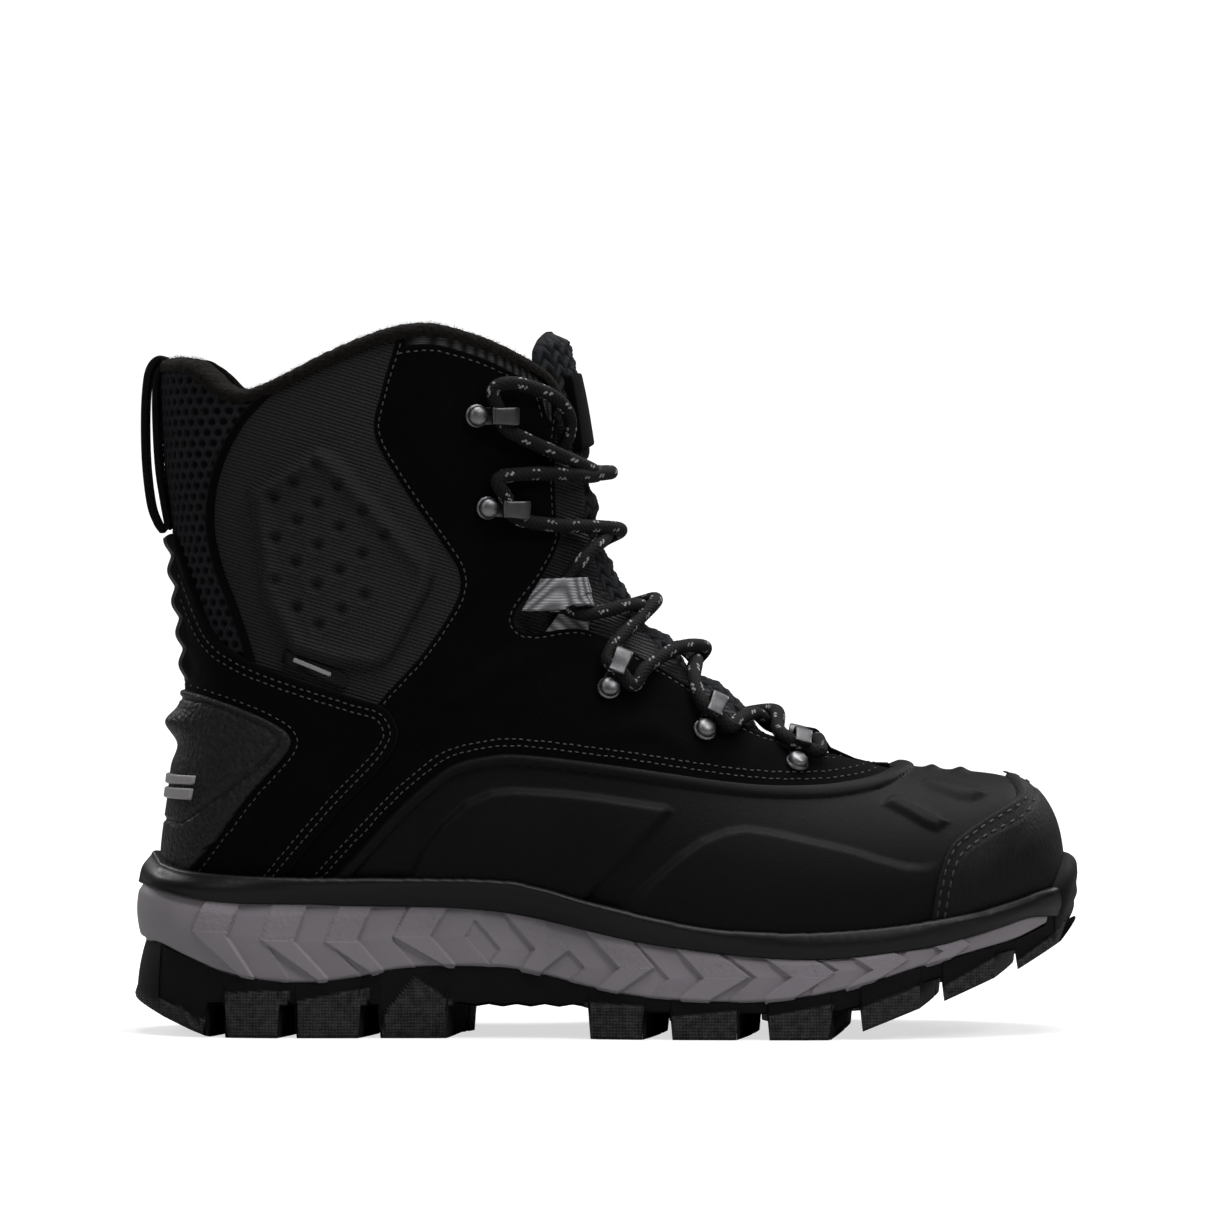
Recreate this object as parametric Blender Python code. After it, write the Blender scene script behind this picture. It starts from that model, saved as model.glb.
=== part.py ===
"""A right hiking boot: sole unit, lasted upper, throat and lacing, as separate closed solids.

The boot stands on z = 0 with its toe towards +X and its outer (lateral) side towards -Y.
Lengths below are in millimetres and are turned into metres where a mesh is made.

The upper is a lasted surface. It is swept through ribs: straight lines in the side view that run from
the front of the boot (the instep and the toe) to its back (the featherline and the heel). Every skin of
the upper is a layer at two distances from that surface, cut out along an outline drawn in the side view.
"""

import math

import bmesh
import bpy
import numpy as np
from mathutils import Vector

MM = 0.001
GAP = 0.3

# Ribs from the toe tip to above the collar: front x, z, back x, z, half width, where it is widest.
RIBS = np.array([
    (148.0, 42.0, 148.0, 41.5, 3.0, 0.86),
    (148.8, 54.0, 140.5, 41.5, 24.5, 0.86),
    (147.0, 67.5, 132.0, 39.0, 32.5, 0.84),
    (142.0, 77.5, 120.0, 35.5, 39.5, 0.82),
    (131.5, 82.5, 104.5, 32.0, 45.0, 0.80),
    (97.0, 86.5, 64.0, 28.5, 49.0, 0.80),
    (61.5, 97.5, 14.0, 33.5, 47.5, 0.80),
    (35.0, 119.0, -37.0, 44.0, 43.5, 0.76),
    (14.0, 139.0, -91.0, 46.0, 40.5, 0.70),
    (3.5, 152.0, -131.0, 48.0, 39.5, 0.66),
    (1.0, 158.0, -144.7, 53.0, 39.5, 0.64),
    (-3.0, 175.0, -142.5, 83.0, 39.5, 0.60),
    (-5.7, 194.0, -138.5, 117.0, 41.0, 0.56),
    (-9.0, 214.0, -142.5, 155.0, 43.0, 0.52),
    (-13.5, 233.0, -147.5, 197.5, 45.0, 0.50),
    (-17.0, 246.5, -149.0, 246.5, 46.5, 0.50),
])
HEEL_RIB = 10
SECTION_POWER = 2.15

# The ribs and the number of steps round each side where the surface is meshed.
SHEET_RIBS = [0.35, 0.75, 1.2, 2, 3, 4, 4.7, 5.4, 6.1, 6.8, 7.5, 8.2, 8.9, 9.45, 10, 10.8, 11.8, 12.8,
              13.8, 15]
SHEET_AROUND = 7

# Half widths of the featherline, where the upper meets the sole, and how its two ends round off.
FEATHER_WIDTHS = [(-150, 33.0), (-100, 33.5), (-60, 33.0), (-20, 35.0), (14, 42.5), (64, 48.0),
                  (150, 48.0)]
FEATHER_BACK, FEATHER_TIP = -144.7, 148.0
HEEL_ROUND_FROM, TOE_ROUND_FROM = -104.0, 64.0
END_POWER = 2.3
SOLE_WELT = 9.0
SOLE_BACK, SOLE_TIP = -158.9, 158.6
FEATHER_STOPS = np.concatenate([np.linspace(-165, -115, 11), np.linspace(-100, 128, 16), [135, 146.6]])

# The forefoot swings inwards, towards the big toe.
TOE_SWING, SWING_FROM, SWING_TO, MIDLINE = 7.5, 0.0, 140.0, -3.35

# Depth of the lining under the lasted surface, by rib.
LINING_DEPTH = [(0, 3.5), (5, 3.5), (8, 4.6), (10, 5.2), (11, 7.0), (12.5, 9.0), (15, 9.0)]
LINING_WALL = 1.0

# Layers of the upper: distance of the inner and outer faces from the lasted surface.
SKIN = (0.3, 2.0)
OVERLAY = (2.3, 3.9)
CAP = (4.2, 5.3)
RAND = (5.7, 8.6)
BUMPER = (5.7, 10.3)

BINDING_HEIGHT = 3.2
PIPING_WIDTH = 2.4
LACE_RADIUS = 2.2
TONGUE_THICKNESS = 6.2
PULL_LOOP_WIDTH, PULL_LOOP_THICKNESS = 20.0, 1.6
TONGUE_SPLIT_RIB = 8.9
TONGUE_TOP_RIB = 14.1

# Outlines in the side view, as (x, z). Smooth ones are splines through their points.
COLLAR = [(-16.0, 209), (-18.5, 217), (-24, 222.5), (-36, 229), (-47, 233), (-58, 235.4), (-69, 234.5),
          (-80, 231), (-92, 226), (-103, 220.5), (-113, 215.8), (-121, 213.6), (-128, 216),
          (-134, 221), (-141, 224.5), (-156, 225)]
SUEDE_REAR = [(-67.5, 240), (-71, 228), (-75, 214), (-77, 200), (-68, 183), (-55, 164), (-49.5, 154),
              (-51, 144), (-62, 127), (-77, 110), (-90, 90), (-104, 66), (-110, 38)]
PIPING = [(-108, 222), (-112.5, 214), (-120, 206), (-126.5, 195), (-130.5, 183), (-131.5, 170),
          (-129, 157), (-125, 146), (-120, 132), (-117, 120), (-114, 100), (-116, 70), (-120, 38)]
EYESTAY = [(-16.0, 214), (-18, 200), (-18.2, 186), (-17.5, 172), (-16.5, 165), (-22, 153),
           (-30.5, 141), (-30, 136), (-24, 134), (-8, 135), (11, 125.5), (28, 115), (46, 102),
           (60, 96.5), (72, 92.6), (77, 92.2), (79, 95)]
SHELL_TOP = [(-94.5, 50), (-81, 64), (-68, 77.5), (-58, 86), (-51, 90.5), (-41, 93), (-28, 93.6),
             (4, 89.5), (43, 83), (63, 81.3), (78, 81.8), (92, 84.5), (106, 92)]
BAND_TOP = [(-160, 169), (-144, 168), (-137.5, 154.5), (-129.5, 135), (-121, 127), (-108, 121),
            (-86, 113.5), (-74, 109.5), (-69.5, 101), (-74, 91), (-90, 74), (-112, 48)]
COUNTER_EDGE = [(-160, 116), (-141, 115.5), (-124, 110.5), (-111, 105), (-104.5, 100), (-105.5, 94),
                (-118, 79), (-140, 49)]
TOE_CAP_EDGE = [(124, 95), (130, 86), (136, 79.5), (134, 75), (121, 67.5), (112.5, 61), (108, 50),
                (105.5, 36)]
RAND_TOP = [(-165, 61), (-149, 60.2), (-141, 56.2), (-130, 54), (-101, 52.8), (-42, 52.6), (-22, 50.2),
            (-2, 44.6), (30, 37.2), (57, 35), (80, 35.7), (103, 38.2), (123, 42.4), (146, 49.6)]
MIDSOLE_BOTTOM = [(-165, 33.5), (-151, 31), (-141, 27), (-128, 22), (-114, 19.2), (-98, 18.5),
                  (-85, 20), (-68, 23.2), (-52, 24), (-35, 23.8), (-20, 21), (-2, 16.5), (14, 13.9),
                  (37, 12.6), (57, 13.2), (80, 17.2), (103, 23.8), (123, 29.0), (136, 32.5),
                  (141, 34.5), (146.6, 37.0)]
GROUND = [(-162, 14), (-157, 11), (-148, 6.5), (-138, 2.2), (-132, 0), (74, 0), (84, 2.6), (104, 10.4),
          (112, 12.6), (128.7, 19.8), (137, 22.5), (152, 31), (162, 42)]
TOE_WALL_X = 146.6
TOE_WALL_TOP = 45.5
BUMPER_SIDE = [(143.6, 46.3), (144.5, 50), (147.5, 57), (150.5, 63.4), (175, 64.4), (175, 30),
               (147.1, 30), (147.1, 46.3)]

# Grooves across the tread, in the side view; at the middle of the sole they lie further forward.
GROOVES = [
    [(-132.5, -2), (-132, 11.5), (-127.6, 13.5), (-126.6, -2)],
    [(-109.8, -2), (-105.8, 14.5), (-102.3, 12.6), (-102.6, -2)],
    [(-82.6, -2), (-78.4, 14.5), (-74.9, 9.9), (-74.9, -2)],
    [(-53.8, -2), (-50.2, 11), (-8.2, 11.5), (-5.6, -2)],
    [(12.5, -2), (12.5, 9), (19.8, 6), (22.4, -2)],
    [(42, -2), (44, 8.5), (51.2, 6.6), (53.8, -2)],
    [(72.6, -2), (75, 9.5), (81.8, 9.5), (84.4, -2)],
    [(103.8, 4), (104.9, 17), (109.9, 16.5), (111.6, 4)],
    [(128.3, 12), (129.6, 25.5), (133, 26), (137, 12)],
]
GROOVE_SWEEP = 9.0
CHANNEL_DEPTH = [(-126, 13), (-55, 10), (-54, -2), (-6, -2), (-5, 8), (20, 6.5), (80, 9), (110, 16.5),
                 (128, 24)]
CHANNELS = (-17.0, 20.0)
CHANNEL_HALF_WIDTHS = (3.0, 1.6)

# Rivets of the hooks of one side, bottom to top, and the webbing loop among them.
HOOKS = [(62.5, 88.5), (31.5, 100.3), (0.0, 114.9), (-40.6, 175.9), (-44.2, 206.3)]
HOOK_WIDTHS = (6.0, 6.0, 6.0, 7.0, 7.0)
HOOK_PROFILE = [(-4, 0.1), (9.4, 0.1), (10.4, 1.1), (10.4, 6.4), (9.4, 7.4), (3.6, 7.4), (3.6, 6.3),
                (9.3, 6.3), (9.3, 1.2), (-4, 1.2)]
WEBBING_PLACE = (-24.0, 146.0)
WEBBING_WIDTH = 13.0
WEBBING_PROFILE = [(-8, 0.1), (9.2, 0.1), (10.6, 1.5), (10.6, 6.6), (9.2, 7.8), (3.2, 7.8), (-8, 2.4),
                   (-8, 1.3), (3.2, 6.5), (9.3, 6.5), (9.3, 1.3), (-8, 1.2)]
RIVET_RADIUS = 3.3

# Half of the lace, from the middle of the throat to the tucked end: x, distance from the midline, z, and
# how far the half that lies on top is moved along x and z. It changes sides at each crossing.
LACE_HALF = [
    (69.3, 0, 97.2, 0, 0), (71.0, -13, 98.4, 0, 0), (71.2, -23.5, 94.6, 0, 0),
    (65.8, -23.2, 96.3, 0, 0), (60.3, -22.0, 99.2, 0, 0), (57.5, -13, 101.9, 0, 0),
    (54.3, 0, 103.6, 3.0, 4.0), (49.6, 14.5, 107.2, 0, 0), (43.6, 26.5, 105.0, 0, 0),
    (41.3, 30.8, 103.2, 0, 0), (36.6, 30.6, 107.0, 0, 0), (31.8, 30.0, 111.2, 0, 0),
    (29.2, 23, 118.8, 0, 0), (29.9, 12, 124.1, 0, 0), (29.6, 0, 125.6, 3.4, 3.7),
    (23.8, -15, 129.2, 0, 0), (13.2, -29, 122.7, 0, 0), (9.0, -34, 117.0, 0, 0),
    (4.6, -33.5, 121.2, 0, 0), (0.2, -32.5, 125.6, 0, 0), (4.6, -25, 133.0, 0, 0),
    (11.2, -13, 139.4, 0, 0), (12.7, 0, 142.2, 3.8, 3.3), (8.2, 14.5, 143.6, 0, 0),
    (-3.8, 27, 141.0, 0, 0), (-11.7, 30.0, 141.9, 0, 0), (-16.3, 30.9, 149.5, 0, 0),
    (-20.9, 32.5, 157.1, 0, 0), (-15.3, 27.5, 163.3, 0, 0), (-2.8, 13.5, 166.3, 0, 0),
    (-0.3, 0, 167.8, 4.9, 1.1), (-3.8, -14.5, 169.8, 0, 0), (-18.2, -30, 170.2, 0, 0),
    (-30.3, -38.0, 172.6, 0, 0), (-33.3, -39.7, 179.0, 0, 0), (-36.0, -41.2, 185.2, 0, 0),
    (-26.2, -35.8, 187.2, 0, 0), (-11.8, -25.2, 187.2, 0, 0), (-4.7, -13, 187.4, 0, 0),
    (-3.6, 0, 187.8, 5.0, 0.6), (-5.4, 14, 189.2, 0, 0), (-13.2, 26.5, 192.5, 0, 0),
    (-26.4, 36.8, 198.3, 0, 0), (-33.8, 41.0, 202.4, 0, 0), (-36.2, 42.0, 208.8, 0, 0),
    (-37.8, 42.7, 214.6, 0, 0), (-33.4, 42.0, 217.0, 0, 0), (-26.2, 37.3, 216.2, 0, 0),
    (-17.3, 29.6, 212.6, 0, 0), (-12.8, 23.4, 207.0, 0, 0), (-12.9, 21.2, 200.4, 0, 0),
    (-16.6, 20.4, 193.8, 0, 0), (-21.5, 20.2, 188.5, 0, 0), (-28.5, 20.0, 181.5, 0, 0),
    (-36, 18.5, 170, 0, 0), (-41, 17, 155, 0, 0), (-43.5, 16, 138, 0, 0),
    (-44, 16, 120, 0, 0), (-46, 16, 107, 0, 0), (-51, 16, 101.5, 0, 0),
    (-56, 16, 107, 0, 0), (-57.5, 16, 120, 0, 0), (-57.5, 16, 136, 0, 0),
]
AGLET_LENGTH, AGLET_RADIUS = 18.0, 1.7


def spline(points, steps):
    """Points of a smooth line through the given ones."""
    points = np.asarray(points, float)
    t = np.linspace(0, len(points) - 1, steps)
    i = np.minimum(t.astype(int), len(points) - 2)
    return between(points, i, (t - i)[:, None])


def between(points, i, f):
    """The Catmull-Rom spline at a share f of the way from point i to the next."""
    padded = np.vstack([2 * points[0] - points[1], points, 2 * points[-1] - points[-2]])
    a, b, c, d = padded[i], padded[i + 1], padded[i + 2], padded[i + 3]
    first, second, third = c - a, 2 * a - 5 * b + 4 * c - d, 3 * b - a - 3 * c + d
    return 0.5 * (2 * b + first * f + second * f ** 2 + third * f ** 3)


def rib(u):
    """Front point, back point, half width and widest place of the rib at u, counted from the toe."""
    i = min(int(u), len(RIBS) - 2)
    row = between(RIBS, i, u - i)
    return row[:2], row[2:4], row[4], row[5]


def midline(x):
    """Where the middle of the boot lies across it."""
    t = min(max((x - SWING_FROM) / (SWING_TO - SWING_FROM), 0), 1)
    return MIDLINE + TOE_SWING * t * t * (3 - 2 * t)


def end_round(x, start, end):
    """1 before start, falling to 0 at end along a quarter of a superellipse."""
    t = min(max((x - start) / (end - start), 0), 1)
    return (1 - t ** END_POWER) ** (1 / END_POWER)


def plan_half_width(x, back, tip, extra):
    """Half width in plan of an outline that stands off the featherline and closes at back and tip."""
    width = np.interp(x, *zip(*FEATHER_WIDTHS)) + extra
    return width * end_round(x, HEEL_ROUND_FROM, back) * end_round(x, TOE_ROUND_FROM, tip)


def section(s, widest, end):
    """Half width along a rib as a share of its widest: 0 at the front, 1 at the widest, end at the back."""
    p = SECTION_POWER
    if s < widest:
        return (1 - (1 - s / widest) ** p) ** (1 / p)
    t = (s - widest) / (1 - widest)
    return (1 - t ** p * (1 - end ** p)) ** (1 / p)


def end_share(u, back, half):
    """How wide a rib still is at its back end, as a share of its half width."""
    if u >= HEEL_RIB:
        return 0.0
    return min(plan_half_width(back[0], FEATHER_BACK, FEATHER_TIP, 0) / half, 1.0)


def surface(u, s, side):
    """Point of the lasted surface in mm; side is -1 for lateral and 1 for medial."""
    front, back, half, widest = rib(u)
    x, z = front + (back - front) * s
    return Vector((x, midline(x) + side * half * section(s, widest, end_share(u, back, half)), z))


def surface_at_width(u, y):
    """Point of the front of the surface on rib u at a distance y from the midline."""
    front, back, half, widest = rib(u)
    p = SECTION_POWER
    s = widest * (1 - (1 - (abs(y) / half) ** p) ** (1 / p))
    x, z = front + (back - front) * s
    return Vector((x, midline(x) + y, z))


def feather_z(x):
    """Height of the featherline."""
    rows = np.array([rib(u)[1] for u in np.linspace(0, HEEL_RIB, 80)])[::-1]
    return float(np.interp(x, rows[:, 0], rows[:, 1]))


# Building blocks


def material(name, color, roughness, metallic=0.0):
    """A plain material."""
    mat = bpy.data.materials.new(name)
    mat.use_nodes = True
    shader = mat.node_tree.nodes["Principled BSDF"]
    shader.inputs["Base Color"].default_value = (*color, 1)
    shader.inputs["Roughness"].default_value = roughness
    shader.inputs["Metallic"].default_value = metallic
    return mat


def add_object(name, bm, mat=None):
    """An object from a bmesh whose points are in mm."""
    bmesh.ops.scale(bm, vec=(MM, MM, MM), verts=bm.verts)
    bmesh.ops.recalc_face_normals(bm, faces=bm.faces)
    mesh = bpy.data.meshes.new(name)
    bm.to_mesh(mesh)
    bm.free()
    obj = bpy.data.objects.new(name, mesh)
    bpy.context.scene.collection.objects.link(obj)
    if mat:
        mesh.materials.append(mat)
        mesh.shade_smooth()
        mesh.set_sharp_from_angle(angle=math.radians(35))
    return obj


def cut(obj, cutter, operation):
    """A Boolean with a closed helper. The skins need the manifold solver, which takes closed meshes only."""
    cutter.hide_render = True
    cutter.display_type = "WIRE"
    modifier = obj.modifiers.new(cutter.name, "BOOLEAN")
    modifier.operation = operation
    modifier.solver = "MANIFOLD"
    modifier.object = cutter
    return obj


def prism(name, outline, y_from=-90.0, y_to=90.0, mat=None):
    """An outline in the side view, extruded across the boot."""
    bm = bmesh.new()
    ends = [[bm.verts.new((x, y, z)) for x, z in outline] for y in (y_from, y_to)]
    bm.faces.new(ends[0])
    bm.faces.new(ends[1])
    for i in range(len(outline)):
        j = (i + 1) % len(outline)
        bm.faces.new((ends[0][i], ends[0][j], ends[1][j], ends[1][i]))
    bmesh.ops.triangulate(bm, faces=[f for f in bm.faces if len(f.verts) > 4])
    return add_object(name, bm, mat)


def plan_block(name, back, tip, extra, z_from, z_to, mat=None, steps=22):
    """The outline of the sole seen from above, extruded upwards."""
    bm = bmesh.new()
    middle, reach = (back + tip) / 2, (tip - back) / 2
    rings = []
    for z in (z_from, z_to):
        rows = []
        for i in range(steps + 1):
            x = middle - reach * math.cos(math.pi * i / steps)
            half = plan_half_width(x, back, tip, extra)
            sides = (0,) if i in (0, steps) else (-1, 1)
            rows.append([bm.verts.new((x, midline(x) + side * half, z)) for side in sides])
        rings.append(rows)
    for rows in rings:
        for near, far in zip(rows, rows[1:]):
            bm.faces.new(near + far[::-1])
    for i in range(steps):
        for side in (0, -1):
            low = (rings[0][i][side], rings[0][i + 1][side])
            high = (rings[1][i + 1][side], rings[1][i][side])
            bm.faces.new(low + high)
    return add_object(name, bm, mat)


def lasted_sheet():
    """The lasted surface as an open mesh of triangles, which its layers share, with each vertex's rib."""
    around = SHEET_AROUND
    bm = bmesh.new()
    rows = []
    where = []
    for u in SHEET_RIBS:
        row = []
        for j in range(-around, around + 1):
            if j == around and u >= HEEL_RIB:
                row.append(row[0])
                continue
            s = (1 - math.cos(math.pi * abs(j) / around)) / 2
            row.append(bm.verts.new(surface(u, s, math.copysign(1, j))))
            where.append(u)
        rows.append(row)
    for low, high in zip(rows, rows[1:]):
        for j in range(2 * around):
            a, b, c, d = low[j], low[j + 1], high[j + 1], high[j]
            for corners in ((a, b, d), (b, c, d)) if j < around else ((a, b, c), (a, c, d)):
                bm.faces.new(corners)
    bm.normal_update()
    return bm, where


def thicken(bm, inner, outer):
    """A closed solid between two distances from an open sheet, with one number for each vertex."""
    solid = bmesh.new()
    bm.verts.index_update()
    low = [solid.verts.new(v.co + v.normal * inner[v.index]) for v in bm.verts]
    high = [solid.verts.new(v.co + v.normal * outer[v.index]) for v in bm.verts]
    for face in bm.faces:
        index = [v.index for v in face.verts]
        solid.faces.new([high[i] for i in index])
        solid.faces.new([low[i] for i in reversed(index)])
    for edge in bm.edges:
        if edge.is_boundary:
            i, j = (v.index for v in edge.verts)
            solid.faces.new((low[i], low[j], high[j], high[i]))
    bm.free()
    return solid


def outward(bm):
    """1 where the normals of an open sheet point away from the inside of the boot, and -1 if inwards."""
    inside = Vector((-40, 0, 90))
    return 1 if sum(f.normal.dot(f.calc_center_median() - inside) for f in bm.faces) > 0 else -1


def depth(u):
    """How far the lining lies under the lasted surface on a rib."""
    return float(np.interp(u, *zip(*LINING_DEPTH)))


def layer(name, inner, outer, mat):
    """A skin of the whole upper; a distance may be a number or a function of the rib."""
    bm, where = lasted_sheet()
    flip = outward(bm)
    distances = []
    for distance in (inner, outer):
        distances.append([flip * (distance(u) if callable(distance) else distance) for u in where])
    return add_object(name, thicken(bm, *distances), mat)


def panel(name, span, outline, mat, across=(-90.0, 90.0)):
    """A piece of a skin: what lies inside an outline of the side view and two limits across the boot."""
    obj = layer(name, *span, mat)
    cut(obj, prism(name + "_outline", outline, *across), "INTERSECT")
    return obj


def shifted(line, distance):
    """A line moved sideways, to its left where the distance is positive."""
    line = np.asarray(line, float)
    along = np.gradient(line, axis=0)
    along /= np.linalg.norm(along, axis=1)[:, None]
    return [tuple(p) for p in line + distance * np.column_stack([-along[:, 1], along[:, 0]])]


def strip(line, distance_from, distance_to):
    """The outline of what lies between two distances from a line."""
    return shifted(line, distance_from) + shifted(line, distance_to)[::-1]


def locate(x, z):
    """The rib and share of it that lie at a point of the side view."""
    table = np.array([(u, s) for u in np.linspace(3, 14.5, 231) for s in np.linspace(0.01, 0.99, 99)])
    spots = np.array([rib_point(u, s) for u, s in table])
    return table[np.argmin(np.hypot(spots[:, 0] - x, spots[:, 1] - z))]


def rib_point(u, s):
    """The point of the side view at a share s of rib u."""
    front, back = rib(u)[:2]
    return front + (back - front) * s


def frame_at(x, z, side):
    """Point of the surface at (x, z), its normal, and the direction along it towards the throat."""
    u, s = locate(x, z)
    here = surface(u, s, side)
    forward = (surface(u, s - 0.01, side) - here).normalized()
    along = (surface(u + 0.05, s, side) - here).normalized()
    normal = forward.cross(along).normalized()
    if normal.y * side < 0:
        normal.negate()
    return here, normal, forward


def extruded(name, outline, origin, first, second, thickness, mat):
    """An outline in the plane of two directions, extruded both ways from it."""
    across = first.cross(second).normalized()
    bm = bmesh.new()
    ends = []
    for way in (-0.5, 0.5):
        shift = origin + across * way * thickness
        ends.append([bm.verts.new(shift + first * a + second * b) for a, b in outline])
    bm.faces.new(ends[0])
    bm.faces.new(ends[1])
    for i in range(len(outline)):
        j = (i + 1) % len(outline)
        bm.faces.new((ends[0][i], ends[0][j], ends[1][j], ends[1][i]))
    return add_object(name, bm, mat)


# The pieces


def materials():
    """One plain material for each stuff that the boot is made of."""
    return {
        "rubber": material("Rubber", (0.012, 0.012, 0.013), 0.6),
        "foam": material("Midsole foam", (0.085, 0.087, 0.09), 0.65),
        "suede": material("Suede", (0.03, 0.03, 0.032), 0.95),
        "textile": material("Woven textile", (0.045, 0.046, 0.05), 0.9),
        "mesh": material("Spacer mesh", (0.018, 0.018, 0.02), 0.9),
        "fleece": material("Fleece", (0.065, 0.05, 0.038), 1.0),
        "shell": material("Moulded shell", (0.014, 0.014, 0.015), 0.5),
        "counter": material("Counter plastic", (0.02, 0.02, 0.022), 0.45),
        "webbing": material("Webbing", (0.02, 0.02, 0.022), 0.9),
        "grey_webbing": material("Grey webbing", (0.12, 0.12, 0.125), 0.9),
        "lace": material("Lace", (0.012, 0.012, 0.013), 0.85),
        "metal": material("Black nickel", (0.16, 0.16, 0.165), 0.25, 1.0),
        "steel": material("Steel", (0.5, 0.5, 0.5), 0.35, 1.0),
        "board": material("Fibre board", (0.35, 0.3, 0.24), 0.9),
        "lining": material("Lining", (0.03, 0.03, 0.033), 0.95),
        "padding": material("Padding foam", (0.3, 0.3, 0.28), 0.95),
        "stiffener": material("Stiffener", (0.25, 0.25, 0.25), 0.7),
        "aglet": material("Aglet", (0.02, 0.02, 0.02), 0.3),
    }


def floor_line(lift):
    """The featherline in the side view, raised by a lift, from the heel to the toe."""
    return [(x, feather_z(x) + lift) for x in FEATHER_STOPS]


def skin_cutters():
    """What lies above the collar and below the featherline, which every skin is cut back from."""
    above = shifted(spline(COLLAR, 24), BINDING_HEIGHT + GAP)
    above += [(-175, 225), (-175, 275), (40, 275), (40, 205)]
    toe_top = TOE_WALL_TOP + 0.8
    below = floor_line(-1.2)[:-2] + [(140, toe_top), (170, toe_top), (170, 0), (-165, 0)]
    return prism("above_collar", above), prism("below_featherline", below)


def skin(name, span, outline, mat, cutters, across=(-90.0, 90.0)):
    """A panel that also stops at the collar and at the featherline."""
    obj = panel(name, span, outline, mat, across)
    for cutter in cutters:
        cut(obj, cutter, "DIFFERENCE")
    return obj


def build_skins(mats, cutters):
    """The outer skins: suede, woven panels, knit collar and vamp, with their piping and binding."""
    rear = spline(SUEDE_REAR, 18)
    piping = spline(PIPING, 19)
    eyestay = spline(EYESTAY, 22)
    half_piping = PIPING_WIDTH / 2
    quarter = list(map(tuple, eyestay)) + [(80, 104), (97, 108), (97, 10), (-112, 10)]
    quarter += shifted(rear, 0.2)[::-1] + [(-67, 250), (-16, 250)]
    textile = shifted(rear, -0.2) + [(-112, 10), (-120, 10)] + shifted(piping, half_piping + GAP)[::-1]
    knit = shifted(piping, -half_piping - GAP) + [(-120, 10), (-170, 10), (-170, 240)]
    sides = {"lateral": (-90, MIDLINE - 0.2), "medial": (MIDLINE + 0.2, 90)}
    for side, across in sides.items():
        skin("suede_quarter_" + side, SKIN, quarter, mats["suede"], cutters, across)
        skin("textile_panel_" + side, SKIN, textile, mats["textile"], cutters, across)
        cord = strip(piping[:13], -half_piping, half_piping)
        skin("piping_" + side, (0.3, 2.8), cord, mats["suede"], cutters, across)
    skin("knit_collar", SKIN, knit, mats["mesh"], cutters)
    skin("vamp", SKIN, [(97.4, 10), (97.4, 110), (170, 110), (170, 10)], mats["suede"], cutters)
    rim = list(map(tuple, spline(COLLAR, 24)))
    binding_outline = rim + shifted(rim, BINDING_HEIGHT)[::-1]
    binding = panel("collar_binding", (-4.5, 2.2), binding_outline, mats["fleece"])
    clearance = tongue_piece("tongue_clearance", 11.6, 14.95, 10, (-10, -0.9), lambda u: 29.0, None)
    cut(binding, clearance, "DIFFERENCE")


def build_overlays(mats, cutters):
    """What lies on the skins: moulded shell, heel band, Achilles guard, counter, toe cap and label."""
    shell = list(map(tuple, spline(SHELL_TOP, 18))) + [(106, 115), (170, 115), (170, 10), (-94.5, 10)]
    skin("mudguard", OVERLAY, shell, mats["shell"], cutters)
    guard = (MIDLINE - 12.5, MIDLINE + 12.5)
    band_outline = list(map(tuple, spline(BAND_TOP, 18))) + [(-112, 10), (-175, 10), (-175, 169)]
    band = skin("heel_band", OVERLAY, band_outline, mats["suede"], cutters)
    window = [(-175, 116.5), (-175, 190), (-125, 190), (-125, 116.5)]
    cut(band, prism("guard_window", window, guard[0] - GAP, guard[1] + GAP), "DIFFERENCE")
    guard_outline = [(-175, 117), (-175, 168), (-125, 168), (-125, 117)]
    skin("achilles_guard", (2.3, 4.4), guard_outline, mats["rubber"], cutters, guard)
    counter = list(map(tuple, spline(COUNTER_EDGE, 12))) + [(-140, 10), (-175, 10), (-175, 116)]
    skin("heel_counter", CAP, counter, mats["counter"], cutters)
    badge = [(-175, 77), (-175, 86.5), (-125, 86.5), (-125, 77)]
    panel("heel_badge", (5.6, 6.6), badge, mats["counter"], (MIDLINE - 9, MIDLINE + 9))
    cap = list(map(tuple, spline(TOE_CAP_EDGE, 12))) + [(105.5, 10), (175, 10), (175, 110), (124, 110)]
    skin("toe_cap", CAP, cap, mats["rubber"], cutters)
    label = [(-107, 122.8), (-88, 116.2), (-87, 124.5), (-105.5, 131)]
    panel("side_label", (2.3, 2.9), label, mats["webbing"], (-90, 0))


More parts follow.
